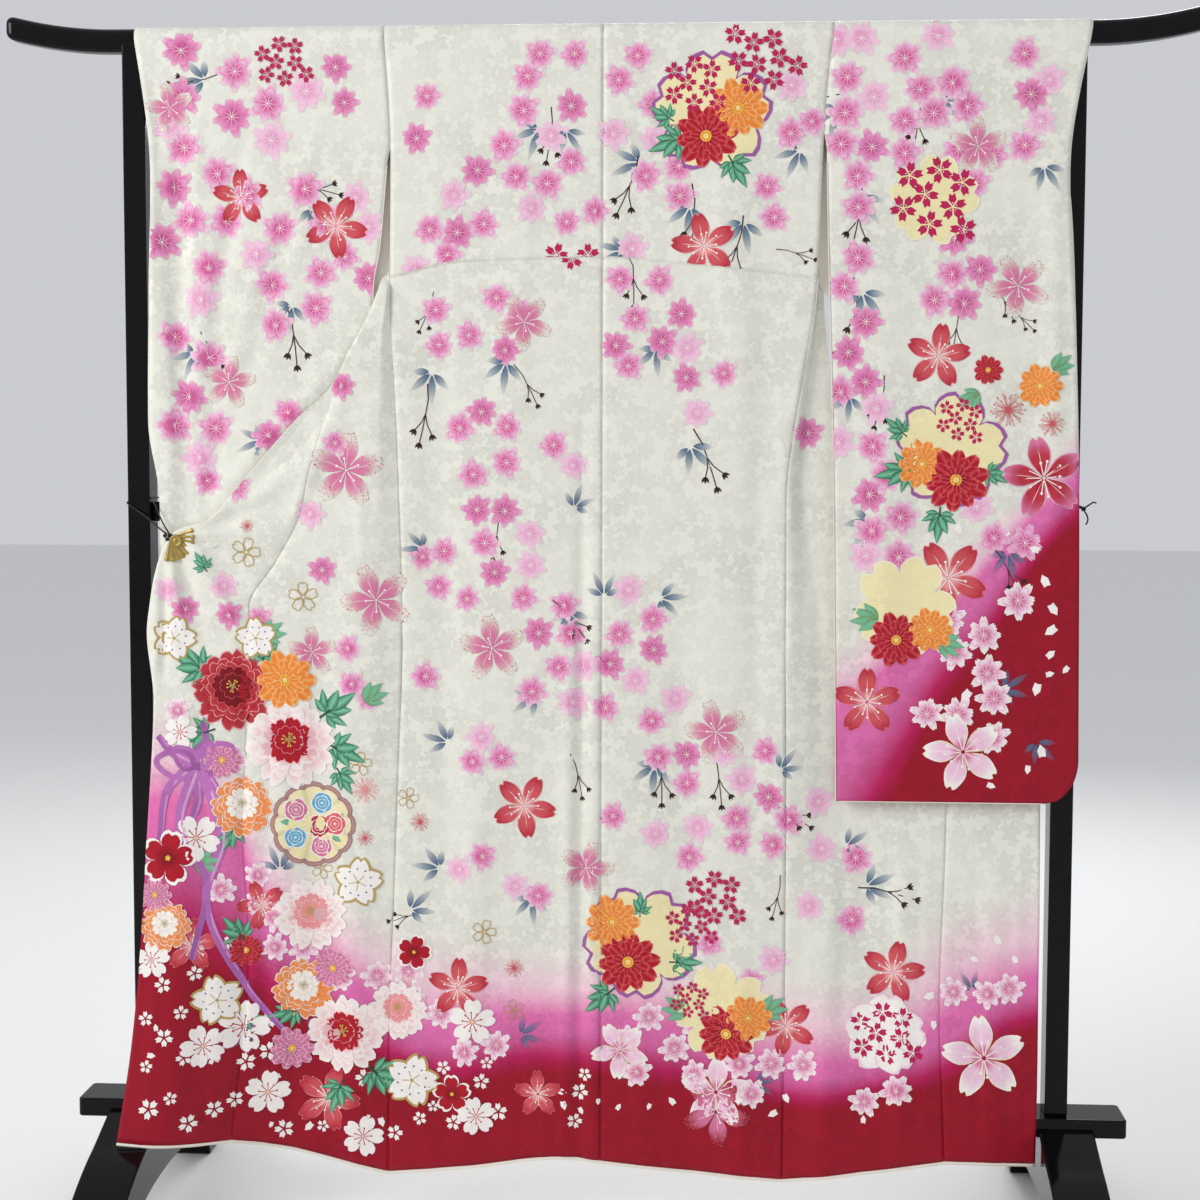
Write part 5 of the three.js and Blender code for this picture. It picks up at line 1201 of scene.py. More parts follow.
def moved(part, size=1.0, turn=0.0, place=(0, 0), lift=0.0):
    """A motif made larger, turned by degrees, shifted and raised."""
    a = math.radians(turn)
    spin = np.array([[math.cos(a), math.sin(a)], [-math.sin(a), math.cos(a)]])
    return dict(part, points=part["points"] @ spin * size + np.array(place), lift=part["lift"] + lift)


def together(*parts):
    starts = np.cumsum([0] + [len(part["points"]) for part in parts])
    keys = ("points", "colors", "lift", "fade")
    joined = {key: np.concatenate([part[key] for part in parts]) for key in keys}
    return dict(joined, faces=np.concatenate([part["faces"] + start for part, start in zip(parts, starts)]))


def fan_faces(rings, size):
    """Triangles of a disc: a centre point, then rings of points."""
    i = np.arange(size)
    j = (i + 1) % size
    out = [np.stack([0 * i, 1 + i, 1 + j], axis=1)]
    for k in range(rings - 1):
        low, high = 1 + k * size, 1 + (k + 1) * size
        out.append(np.stack([low + i, high + i, high + j], axis=1))
        out.append(np.stack([low + i, high + j, low + j], axis=1))
    return np.concatenate(out)


COARSE_PETAL = (-0.5, -0.3, 0.0, 0.3)
FINE_PETAL = (-0.5, -0.455, -0.36, -0.24, -0.12, -0.04, 0.0, 0.04, 0.12, 0.24, 0.36, 0.455)


def bloom(petals, waist, notch, tones, fine=True, point=0.5, line=0.82, veins=0.0, ruffle=0.0):
    """A flower's disc. Petals meet at waist and tips are cut by notch. Tones are distance, colour and fade.

    point shapes the petals: 0.5 is round and 1.2 is pointed. line darkens the gaps between petals, veins
    lightens rays along them, and ruffle makes the edge uneven."""
    steps = np.array(FINE_PETAL if fine else COARSE_PETAL)
    angle = (np.arange(petals)[:, None] + steps[None]).ravel() * 2 * np.pi / petals
    across = np.tile(np.abs(steps) * 2, petals)
    edge = waist + (1 - waist) * np.cos(across * np.pi / 2) ** point
    edge = edge - notch * np.exp(-((across / 0.16) ** 2))
    edge = edge * (1 + ruffle * np.sin(angle * 17 + 2 * np.sin(angle * 5)))
    distance = np.array([tone[0] for tone in tones[1:]])
    reach = distance[:, None] * edge[None]
    rings = np.stack([reach * np.cos(angle), reach * np.sin(angle)], axis=-1)
    shade = 1 - (1 - line) * (across > 0.95)[None] * (distance > 0.2)[:, None]
    base = np.array([tone[1] for tone in tones[1:]])[:, None] * shade[..., None]
    ray = veins * np.cos(across * 9.4)[None] * (np.abs(distance - 0.55) < 0.3)[:, None]
    base = np.clip(base * (1 + ray[..., None]), 0, 1)
    points = np.concatenate([[(0, 0)], rings.reshape(-1, 2)])
    colors = np.concatenate([[tones[0][1]], base.reshape(-1, 3)])
    melt = np.repeat([tone[2] if len(tone) > 2 else 0.0 for tone in tones[1:]], len(angle))
    return motif(points, fan_faces(len(distance), len(angle)), colors, np.concatenate([[0], melt]))


PETAL_ACROSS = np.array([-1, -0.88, -0.6, -0.3, -0.05, 0, 0.05, 0.3, 0.6, 0.88, 1])
PLAIN_ACROSS = np.array([-1, -0.7, -0.3, 0, 0.3, 0.7, 1])


def petal_outline(across, along, half_width, notch):
    """Points of one petal along +X: narrow at its foot, widest past the middle, and notched."""
    tip = 1 - notch * np.exp(-((across / 0.2) ** 2)) - 0.3 * np.abs(across) ** 2.5
    low = 0.1 + 0.9 * np.sin(np.pi / 2 * np.minimum(along / 0.75, 1)) ** 1.2
    full = np.where(along < 0.75, low, 1 - 0.12 * (np.maximum(along - 0.75, 0) / 0.25) ** 2)
    return np.stack([0.04 + (tip - 0.04) * along, half_width * across * full], axis=-1)


def petal(half_width, notch, tones, rim=None, vein=None, columns=PETAL_ACROSS):
    """One petal in tones of (distance, colour, fade), with a rim's and a middle vein's colour."""
    across, along = np.meshgrid(columns, [tone[0] for tone in tones])
    points = petal_outline(across, along, half_width, notch)
    colors = np.repeat(np.array([tone[1] for tone in tones])[:, None], len(columns), axis=1).copy()
    if rim is not None:
        colors[:, [0, -1]] = rim
        colors[-1] = rim
    if vein is not None:
        colors[:4, len(columns) // 2] = vein
    melt = np.repeat([tone[2] if len(tone) > 2 else 0.0 for tone in tones], len(columns))
    i = (np.arange(len(tones) - 1)[:, None] * len(columns) + np.arange(len(columns) - 1)).ravel()
    j = i + len(columns)
    faces = np.concatenate([np.stack([i, j, j + 1], axis=1), np.stack([i, j + 1, i + 1], axis=1)])
    return motif(points.reshape(-1, 2), faces, colors.reshape(-1, 3), melt)


def five(one):
    return together(*[moved(one, 1, 72 * i, lift=0.15 * (i % 3)) for i in range(5)])


def stroke(line, width, color, end_color=None, taper=1.0):
    """A ribbon along a line of points, which narrows to taper times its width."""
    line = np.asarray(line, float)
    ahead = unit(np.gradient(line, axis=0))
    side = np.stack([-ahead[:, 1], ahead[:, 0]], axis=1)
    t = np.linspace(0, 1, len(line))[:, None]
    half = width / 2 * mix(1, taper, t)
    points = np.stack([line + side * half, line - side * half], axis=1).reshape(-1, 2)
    i = np.arange(len(line) - 1) * 2
    faces = np.concatenate([np.stack([i, i + 1, i + 3], axis=1), np.stack([i, i + 3, i + 2], axis=1)])
    tint = mix(np.asarray(color), np.asarray(color if end_color is None else end_color), t)
    return motif(points, faces, np.repeat(tint, 2, axis=0))


def blade(length, width, base, tip, rib, melt=0.0, bend=0.0, steps=7):
    """A leaf from its stalk at the origin along +X, paler on one half, with a midrib."""
    t = np.linspace(0, 1, steps)
    half = width / 2 * np.sin(np.pi * np.clip(t, 0.02, 0.98) ** 0.8)
    middle = np.stack([length * t, bend * t * t], axis=1)
    across = np.array([-1, -0.1, 0.1, 1])
    aside = across[None] * half[:, None]
    points = middle[:, None] + np.stack([0 * aside, aside], axis=-1)
    tint = mix(np.asarray(base)[None], np.asarray(tip)[None], t[:, None])
    ribs = np.broadcast_to(rib, tint.shape)
    colors = np.stack([tint * 0.82, ribs, ribs, tint], axis=1)
    i = np.arange(steps - 1)[:, None] * 4 + np.arange(3)[None]
    i = i.ravel()
    faces = np.concatenate([np.stack([i, i + 4, i + 5], axis=1), np.stack([i, i + 5, i + 1], axis=1)])
    return motif(points.reshape(-1, 2), faces, colors.reshape(-1, 3), np.repeat(melt * t**1.5, 4))


def dot(radius, color, sides=7):
    angle = np.arange(sides) * 2 * np.pi / sides
    rim = radius * np.stack([np.cos(angle), np.sin(angle)], axis=1)
    return motif(np.concatenate([[(0, 0)], rim]), fan_faces(1, sides), color)


def ring_of(part, count, reach, turn=0.0, lift=0.0, jitter=0.0):
    """Copies of a part round the centre, each turned outwards."""
    parts = []
    for i in range(count):
        angle = turn + 360 * i / count + jitter * math.sin(i * 2.4)
        a = math.radians(angle)
        far = reach * (1 + jitter / 60 * math.cos(i * 1.7))
        parts.append(moved(part, 1, angle, (far * math.cos(a), far * math.sin(a)), lift))
    return together(*parts)


def stamens(count, reach, thread, tip):
    """Fine threads from a flower's heart, each with a dot at its end."""
    hair = stroke([(0.06, 0), (reach * 0.5, 0), (reach, 0)], 0.022, thread)
    return together(ring_of(hair, count, 0, 9, 0.5, 8), ring_of(dot(0.035, tip, 5), count, reach, 9, 1, 8))


def even(color, *reaches):
    """Tones of one colour at several distances."""
    return tuple((reach, color) for reach in reaches)


def small_blossom(heart, middle, tip, melt):
    """A double blossom of two rings of notched petals, brushed in from a rosy heart."""
    fading = even(heart, 0, 0.4) + ((0.7, middle, 0), (0.9, tip, 0.3 * melt), (1, tip, 0.5 * melt))
    clear = even(heart, 0, 0.35) + ((0.7, middle, 0), (0.97, tip, 0), (1, tip * 0.94, 0))
    under = petal(0.23, 0.12, fading, columns=PLAIN_ACROSS)
    over = petal(0.27, 0.12, clear, columns=PLAIN_ACROSS)
    threads = ring_of(stroke([(0.08, 0), (0.5, 0)], 0.03, WHITE, middle, 0.4), 9, 0, 15)
    lower = together(*[moved(under, 1 - 0.09 * (i % 3), 45 * i, lift=0.08 * i) for i in range(8)])
    upper = together(*[moved(over, 0.7 + 0.05 * (i % 2), 60 * i + 20, (0.04, 0.02), 1 + 0.08 * i)
                       for i in range(6)])
    return together(lower, upper, moved(threads, lift=1.8), moved(dot(0.06, WHITE, 5), lift=2.2))


def open_blossom(heart, middle, edge, rim):
    """A wide cherry blossom whose five petals stand apart, with veins and threads."""
    tones = (even(heart, 0, 0.16) + even(middle, 0.34, 0.55) + even(mix(middle, edge, 0.4), 0.75)
             + even(edge, 0.9, 0.97) + even(rim, 1))
    return together(five(petal(0.27, 0.1, tones, rim, WHITE)), moved(stamens(10, 0.4, WHITE, WHITE), lift=1))


GRAINS = 190
GRAIN_SEED = 11


def speckled_blossom():
    """A dusty pink blossom whose petals end in a powder of fine grains."""
    tones = ((0, DUSTY * 0.9), (0.16, DUSTY), (0.34, DUSTY, 0), (0.5, DUSTY, 0.1), (0.64, DUSTY, 0.35),
             (0.78, DUSTY, 0.7), (0.92, DUSTY, 0.97), (1, DUSTY, 1))
    spots = random.Random(GRAIN_SEED)
    grains = []
    for i in range(GRAINS):
        across, along = spots.uniform(-1, 1), 1 - 0.48 * spots.random() ** 1.3
        x, y = petal_outline(np.array(across), np.array(along), 0.26, 0.1)
        color = CORAL if spots.random() < 0.75 else GOLD
        grains.append(moved(dot(0.009 + 0.011 * spots.random(), color, 5), 1, 0, (x, y)))
    grains = [moved(grain, 1, 72 * (i % 5)) for i, grain in enumerate(grains)]
    return together(five(petal(0.26, 0.1, tones, None, WHITE)), moved(together(*grains), lift=1),
                    moved(stamens(5, 0.3, WHITE, WHITE), lift=1))


CUT_PETAL_FACES = [(0, 1, 3), (1, 2, 3), (0, 3, 5), (3, 4, 5)]


def tiny_blossom(color):
    """A small cut-out blossom of five notched petals, parted by fine gaps."""
    one = motif([(0.06, 0), (0.5, -0.3), (0.98, -0.2), (0.82, 0), (0.98, 0.2), (0.5, 0.3)],
                CUT_PETAL_FACES, color)
    return together(ring_of(one, 5, 0.03), ring_of(dot(0.05, WHITE, 5), 5, 0.3, 0, 1))


def cluster(part, places, size):
    return together(*[moved(part, size, turn, (x, y), 0.0) for x, y, turn in places])


TINY_PLACES = ((-0.55, 0.5, 10), (0.12, 0.62, 40), (0.62, 0.34, 0), (-0.2, 0.08, 65), (0.42, -0.2, 22),
               (-0.68, -0.22, 50), (-0.1, -0.58, 5), (0.66, -0.7, 33))


def mum(deep, middle, edge):
    """A chrysanthemum of three rounds of broad petals with pale rims and veins, and a gold heart."""
    tones = ((0, deep), (0.3, deep), (0.6, middle), (0.9, middle), (1, edge))
    one = petal(0.27, 0.05, tones, edge, mix(middle, edge, 0.5), PLAIN_ACROSS)
    rounds = []
    for count, size, turn, lift in ((10, 1.0, 0, 0), (9, 0.76, 13, 1), (7, 0.5, 5, 2)):
        rounds += [moved(one, size * (1 - 0.05 * (i % 3)), turn + 360 * i / count, lift=lift + 0.07 * i)
                   for i in range(count)]
    heart = together(dot(0.17, YELLOW, 12), ring_of(dot(0.035, ORANGE, 5), 9, 0.11, 0, 1),
                     ring_of(dot(0.03, CREAM, 5), 5, 0.05, 20, 1))
    return together(*rounds, moved(heart, lift=3))


def peony(outer, outer_edge, inner, inner_edge, blend=0.1):
    """A full peony: ruffled rounds of petals which close about a darker heart."""
    wide = ((0, outer * 0.8), (0.4, outer * 0.85), (0.66, outer), (0.9, mix(outer, outer_edge, blend)),
            (0.96, mix(outer, outer_edge, blend)), (0.975, outer_edge), (1, outer_edge))
    close = ((0, inner * 0.8), (0.35, inner * 0.85), (0.66, inner), (0.9, inner), (0.955, inner),
             (0.97, inner_edge), (1, inner_edge))
    rounds = [moved(bloom(8, 0.74, 0.12, wide, line=0.7, ruffle=0.035), 1.0),
              moved(bloom(7, 0.72, 0.12, wide, line=0.7, ruffle=0.035), 0.82, 20, (0.02, 0.03), 1),
              moved(bloom(6, 0.78, 0.12, wide, line=0.72, ruffle=0.03), 0.66, 47, (0, 0.05), 2),
              moved(bloom(7, 0.72, 0.14, close, line=0.6, ruffle=0.03), 0.54, 10, (0, 0.08), 3),
              moved(bloom(5, 0.7, 0.14, close, line=0.6, ruffle=0.03), 0.33, 34, (0, 0.1), 4)]
    thread = together(stroke([(0, 0), (0.12, 0)], 0.02, GOLD), moved(dot(0.022, YELLOW, 5), 1, 0, (0.13, 0)))
    heart = ring_of(thread, 9, 0.01, 0, 5, 10)
    return together(*rounds, moved(heart, 1, 0, (0, 0.1)))


def framed_blossom():
    """A cream medallion in the outline of a cherry blossom, with a violet line round it."""
    tones = even(CREAM, 0, 0.2, 0.4, 0.6, 0.78, 0.925) + even(VIOLET, 0.935, 0.97, 1)
    return bloom(5, 0.66, 0.14, tones, line=1.0)


def cream_blossom():
    tones = even(CREAM, 0, 0.25, 0.5, 0.75, 0.93) + even(mix(CREAM, WHITE, 0.6), 1)
    return bloom(5, 0.62, 0.16, tones, line=0.97)


def gilt_blossom():
    """A white blossom outlined in gold, with gold threads and a gold heart."""
    gold, white = [five(petal(width, 0.16, even(color, 0, 0.3, 0.6, 0.85, 1)))
                   for width, color in ((0.42, GOLD), (0.38, WHITE))]
    return together(gold, moved(white, 0.91, lift=3.5),
                    ring_of(stroke([(0.1, 0), (0.34, 0)], 0.03, GOLD), 5, 0, 36, 6),
                    ring_of(dot(0.04, SLATE, 5), 10, 0.5, 10, 6), moved(dot(0.07, GOLD), lift=7))


def gold_outline():
    """Only the outline of a small blossom, drawn in gold."""
    line = [(0.1, 0), (0.45, -0.3), (0.85, -0.28), (0.98, -0.1), (0.86, 0), (0.98, 0.1), (0.85, 0.28),
            (0.45, 0.3), (0.1, 0)]
    return together(ring_of(stroke(line, 0.06, GOLD), 5, 0), ring_of(dot(0.05, GOLD, 5), 5, 0.4, 36))


def white_blossom():
    tones = even(YELLOW, 0) + even(WHITE, 0.1, 0.4, 0.75, 0.95) + even(BLOSSOM_PALE, 1)
    return together(bloom(5, 0.4, 0.16, tones, line=0.72),
                    moved(ring_of(stroke([(0.06, 0), (0.34, 0)], 0.035, CORAL_DEEP), 9, 0), lift=1),
                    ring_of(dot(0.045, CORAL_DEEP, 5), 9, 0.38, 0, 1.5))


def white_mini():
    one = motif([(0.12, 0), (0.5, -0.3), (0.95, -0.2), (0.8, 0), (0.95, 0.2), (0.5, 0.3)],
                CUT_PETAL_FACES, WHITE)
    return ring_of(one, 5, 0.04)


def fallen_petal():
    return motif([(-0.9, 0), (-0.2, -0.5), (0.7, -0.42), (0.6, 0), (0.7, 0.42), (-0.2, 0.5)],
                 CUT_PETAL_FACES, [WHITE, WHITE, BLOSSOM_PALE, WHITE, WHITE, WHITE])


def pompon(color):
    """A puff of fine needles with a dot at each end."""
    thread = stroke([(0.1, 0), (0.86, 0)], 0.05, color, mix(color, WHITE, 0.35))
    needle = together(thread, dot(0.05, color, 5))
    return together(ring_of(needle, 22, 0.0, 0, 0, 5), ring_of(dot(0.05, color, 5), 22, 0.9, 0, 1, 5),
                    ring_of(dot(0.045, color, 5), 15, 0.66, 9, 1, 5), moved(dot(0.16, color, 9), lift=1))


def rosette(color, pale):
    """A small rose drawn as rounds that wind inwards."""
    tones = even(pale, 0) + even(color, 0.5, 0.86) + even(pale, 0.9, 1)
    outer, middle, inner = [bloom(petals, waist, 0.0, tones, fine=False)
                            for petals, waist in ((5, 0.86), (5, 0.84), (4, 0.84))]
    return together(outer, moved(middle, 0.66, 30, lift=1), moved(inner, 0.38, 10, lift=2))


# The roses in a medallion: place, size and colour.
ROSES = ((-0.4, 0.35, 0.3, DUSTY), (0.2, 0.5, 0.28, SKY), (0.5, 0.02, 0.3, RED_PALE),
         (0.12, -0.05, 0.3, CORAL_DEEP), (-0.42, -0.3, 0.28, SKY), (0.18, -0.52, 0.28, DUSTY))


def round_medallion():
    """A cream round with a scalloped rim of violet and gold, filled with small roses."""
    tones = even(CREAM, 0, 0.3, 0.6, 0.88) + ((0.9, VIOLET), (0.95, GOLD), (1, VIOLET))
    roses = [moved(rosette(color, WHITE), size, 40 * i, (x, y), 2)
             for i, (x, y, size, color) in enumerate(ROSES)]
    leaves = ring_of(blade(0.26, 0.13, GREEN, GREEN_PALE, GREEN_PALE), 7, 0.5, 20, 1)
    return together(bloom(12, 0.93, 0.0, tones, fine=False), leaves, *roses)


LEAF_WIDTH = 0.34


def leaf_spray(count, base, tip, rib, spread):
    """Leaves that fan out from one stalk."""
    parts = []
    for i in range(count):
        off = i / (count - 1) - 0.5
        leaf = blade(1 - 0.6 * abs(off), LEAF_WIDTH, base, tip, rib)
        parts.append(moved(leaf, 1, spread * off, (0, 0), 0.3 * i))
    return together(*parts)


def lobed_leaf():
    """A peony leaf: three lobes of blades on a short stalk."""
    side = leaf_spray(3, GREEN_DEEP, GREEN, GREEN_PALE, 62)
    return together(moved(side, 0.8, 0, (0.22, 0), 1), moved(side, 0.56, 62, (0.12, 0.04), 0.5),
                    moved(side, 0.56, -62, (0.12, -0.04)), stroke([(-0.1, 0), (0.3, 0)], 0.05, GREEN_DEEP))


def sprig():
    """Narrow slate-blue leaves at a twig's end."""
    narrow = []
    for turn, length in ((-76, 0.55), (-34, 0.85), (14, 1.0), (58, 0.7)):
        a = math.radians(turn)
        foot = (0.12 * math.cos(a), 0.12 * math.sin(a))
        narrow.append(moved(blade(length, 0.25, SLATE * 0.6, SLATE, SLATE * 0.8, 0.95), 1, turn, foot))
    return together(*narrow)


def bud_twig():
    """A dark twig which forks into stalks with closed buds."""
    parts = [stroke([(-0.3, -0.05), (0.1, 0.02), (0.5, 0)], 0.034, TWIG, TWIG, 0.7)]
    scale = blade(0.17, 0.07, TWIG * 0.7, TWIG, TWIG)
    for angle, reach in ((-26, 0.45), (-4, 0.72), (24, 0.52)):
        a = math.radians(angle)
        end = (0.45 + reach * math.cos(a), reach * math.sin(a))
        bend = (0.45 + 0.5 * reach * math.cos(a * 0.7), 0.5 * reach * math.sin(a * 0.7))
        parts.append(stroke([(0.45, 0), bend, end], 0.026, TWIG))
        parts += [moved(scale, 1, angle + turn, end, 0.5) for turn in (-32, 0, 32)]
    return together(*parts)


def bow():
    """A tied bow of ribbon: two loops, two tails and a knot."""
    t = np.linspace(0, 2 * np.pi, 26)
    loop = np.stack([0.62 * (1 - np.cos(t)) / 1.25, 0.34 * np.sin(t) * (1 + 0.3 * np.cos(t))], axis=1)
    return together(moved(stroke(loop, 0.13, LILAC, VIOLET), 1, 18, (0.04, 0)),
                    moved(stroke(loop, 0.13, LILAC, VIOLET), 1, 162, (-0.04, 0)),
                    moved(stroke(loop * 0.7, 0.1, VIOLET, LILAC), 1, 52, (0.02, 0), 1),
                    moved(stroke(loop * 0.7, 0.1, VIOLET, LILAC), 1, 128, (-0.02, 0), 1),
                    moved(dot(0.11, VIOLET), lift=2))


RED_WHITE = even(YELLOW, 0, 0.08) + even(RED_DEEP, 0.12) + even(RED, 0.5, 0.86) + even(WHITE, 0.885, 1)
MOTIFS = {
    "small": small_blossom(BLOSSOM_HEART, BLOSSOM, BLOSSOM_PALE, 0.8),
    "rose": small_blossom(BLOSSOM_HEART * 0.85, BLOSSOM_ROSE, BLOSSOM, 0.55),
    "pale": small_blossom(DUSTY, BLOSSOM_PALE, WHITE, 0.15),
    "faint": small_blossom(BLOSSOM, BLOSSOM_PALE, BLOSSOM_PALE, 0.9),
    "coral": open_blossom(CORAL_PALE, CORAL, CORAL_DEEP, CORAL_PALE),
    "rosy": open_blossom(RED, CORAL_DEEP, DUSTY, BLOSSOM_PALE),
    "white_open": open_blossom(DUSTY, BLOSSOM_PALE, WHITE, CREAM),
    "powder": speckled_blossom(), "one_tiny": tiny_blossom(TINY_RED),
    "tiny": cluster(tiny_blossom(TINY_RED), TINY_PLACES, 0.3),
    "orange_mum": mum(ORANGE * 0.85, ORANGE, ORANGE_PALE), "red_mum": mum(RED_DEEP, RED, RED_PALE),
    "plum": mum(VIOLET * 0.7, DUSTY * 0.9, BLOSSOM_PALE),
    "red_peony": peony(RED, CORAL_PALE, RED_DEEP, RED_PALE),
    "pale_peony": peony(ROSY_WHITE, WHITE, RED, CORAL_PALE, 0.8),
    "pink_peony": peony(ROSY_WHITE, WHITE, CORAL_PALE, WHITE, 0.85),
    "amber_peony": peony(ORANGE, WHITE, WHITE, ORANGE_PALE),
    "framed": framed_blossom(), "cream": cream_blossom(), "gilt": gilt_blossom(), "outline": gold_outline(),
    "plain_white": five(petal(0.5, 0.12, even(WHITE, 0, 0.15, 0.3, 0.45, 0.6, 0.75, 0.88, 1), BLOSSOM_PALE)),
    "white": white_blossom(), "mini": white_mini(), "petal": fallen_petal(), "pompon": pompon(CORAL),
    "red_pompon": pompon(CORAL_PALE), "round": round_medallion(), "leaf": lobed_leaf(),
    "olive": leaf_spray(4, OLIVE, GREEN_PALE, GREEN_PALE, 80), "sprig": sprig(), "twig": bud_twig(),
    "bow": bow(), "red_white": bloom(5, 0.5, 0.12, RED_WHITE, line=0.6),
}

# ---- Laying the print on the cloth
PRINT_LIFT = 0.22
TUCK_CUT = 0.8
LAYER = 0.07
TWIG_SCALE = 1.15
FAR_OFF = 400
DEPTH_REACH = 60
GROUPS = {
    "sleeve_left": ("sleeve_left",), "sleeve_right": ("sleeve_right",),
    "body": ("back_left", "back_right", "front_left", "okumi_left", "front_right", "okumi_right", "collar")}


def tree_of(points, faces):
    return BVHTree.FromPolygons([tuple(p) for p in points], [tuple(f) for f in faces.tolist()])


TREES = {name: tree_of(points, faces) for name, (points, faces) in OUTER.items()}
LAID = {name: [] for name in OUTER}
RIGHT, UP, AHEAD = camera_axes()


def first_hit(start, way):
    """The nearest printed surface along a ray, as its name and place."""
    best = (math.inf, None, None)
    for name, tree in TREES.items():
        place, normal, _, far = tree.ray_cast(start, way)
        if place is not None and far < best[0] and normal.dot(way) < 0:
            best = (far, name, place)
    return best[1], best[2]


def at_pixel(px, py):
    """The cloth seen at a pixel of the frame."""
    half = FRAME_PIXELS / 2
    way = (AHEAD + RIGHT * ((px - half) / FOCAL_PIXELS) + UP * ((half - py) / FOCAL_PIXELS)).normalized()
    return first_hit(CAMERA_AT, way)


def lay(part, place, panel, side=-1):
    """Print a motif about a place, over every panel that is sewn to the first. Side -1 is the front."""
    points = part["points"]
    spread = float(np.abs(points).max())
    flat = np.stack([place[0] + points[:, 0], place[2] + points[:, 1]], axis=1)
    cut = np.zeros(len(flat), bool)
    if side < 0 and panel.startswith("back"):
        fold = tuck_height(flat[:, 0])
        if place[2] > tuck_height(place[0]):
            cut, flat[:, 1] = flat[:, 1] < fold + TUCK_CUT, np.maximum(flat[:, 1], fold + TUCK_CUT)
        else:
            cut, flat[:, 1] = flat[:, 1] > fold - TUCK_CUT, np.minimum(flat[:, 1], fold - TUCK_CUT)
    group = next(names for names in GROUPS.values() if panel in names)
    way = Vector((0, -side, 0))
    for name in group:
        low, high = OUTER[name][0].min(axis=0) - spread, OUTER[name][0].max(axis=0) + spread
        if not (low[0] < place[0] < high[0] and low[2] < place[2] < high[2]):
            continue
        spot, found = np.zeros((len(flat), 3)), np.zeros(len(flat), bool)
        tree = TREES[name]
        for i, (x, z) in enumerate(flat):
            hit, normal, _, _ = tree.ray_cast(Vector((x, side * FAR_OFF, z)), way)
            if hit is not None and normal.y * side > 0 and abs(hit.y - place[1]) < DEPTH_REACH:
                spot[i] = hit + normal * (PRINT_LIFT + LAYER * part["lift"][i])
                found[i] = True
        if not found.any():
            continue
        for i in np.flatnonzero(~found):
            near, normal, _, _ = tree.find_nearest(Vector((flat[i, 0], place[1], flat[i, 1])))
            spot[i] = near + normal * (PRINT_LIFT + LAYER * part["lift"][i])
        faces = part["faces"][(found & ~cut)[part["faces"]].any(axis=1)]
        cloth = ramp(dye_amount(name, spot[:, 0], spot[:, 2]), DYE_STOPS)
        colors = mix(part["colors"], cloth, part["fade"][:, None])
        LAID[name].append((spot, faces if side < 0 else faces[:, ::-1], colors))


def stamp(kind, px, py, size, turn=0.0, lift=0.0):
    """Print one motif of the given radius, in millimetres, centred at a pixel."""
    panel, place = at_pixel(px, py)
    if panel:
        lay(moved(MOTIFS[kind], size, turn, lift=lift), place, panel)


def make_print(name):
    """All that is laid on a panel, as one thin skin."""
    starts = np.cumsum([0] + [len(spot) for spot, _, _ in LAID[name]])
    points = np.concatenate([spot for spot, _, _ in LAID[name]])
    faces = np.concatenate([f + start for (_, f, _), start in zip(LAID[name], starts)])
    colors = np.concatenate([c for _, _, c in LAID[name]])
    used, where = np.unique(faces, return_inverse=True)
    faces = where.reshape(faces.shape)
    made = mesh_object("print_" + name, points[used], faces.tolist(), [PRINT])
    set_colors(made, "print", colors[used])


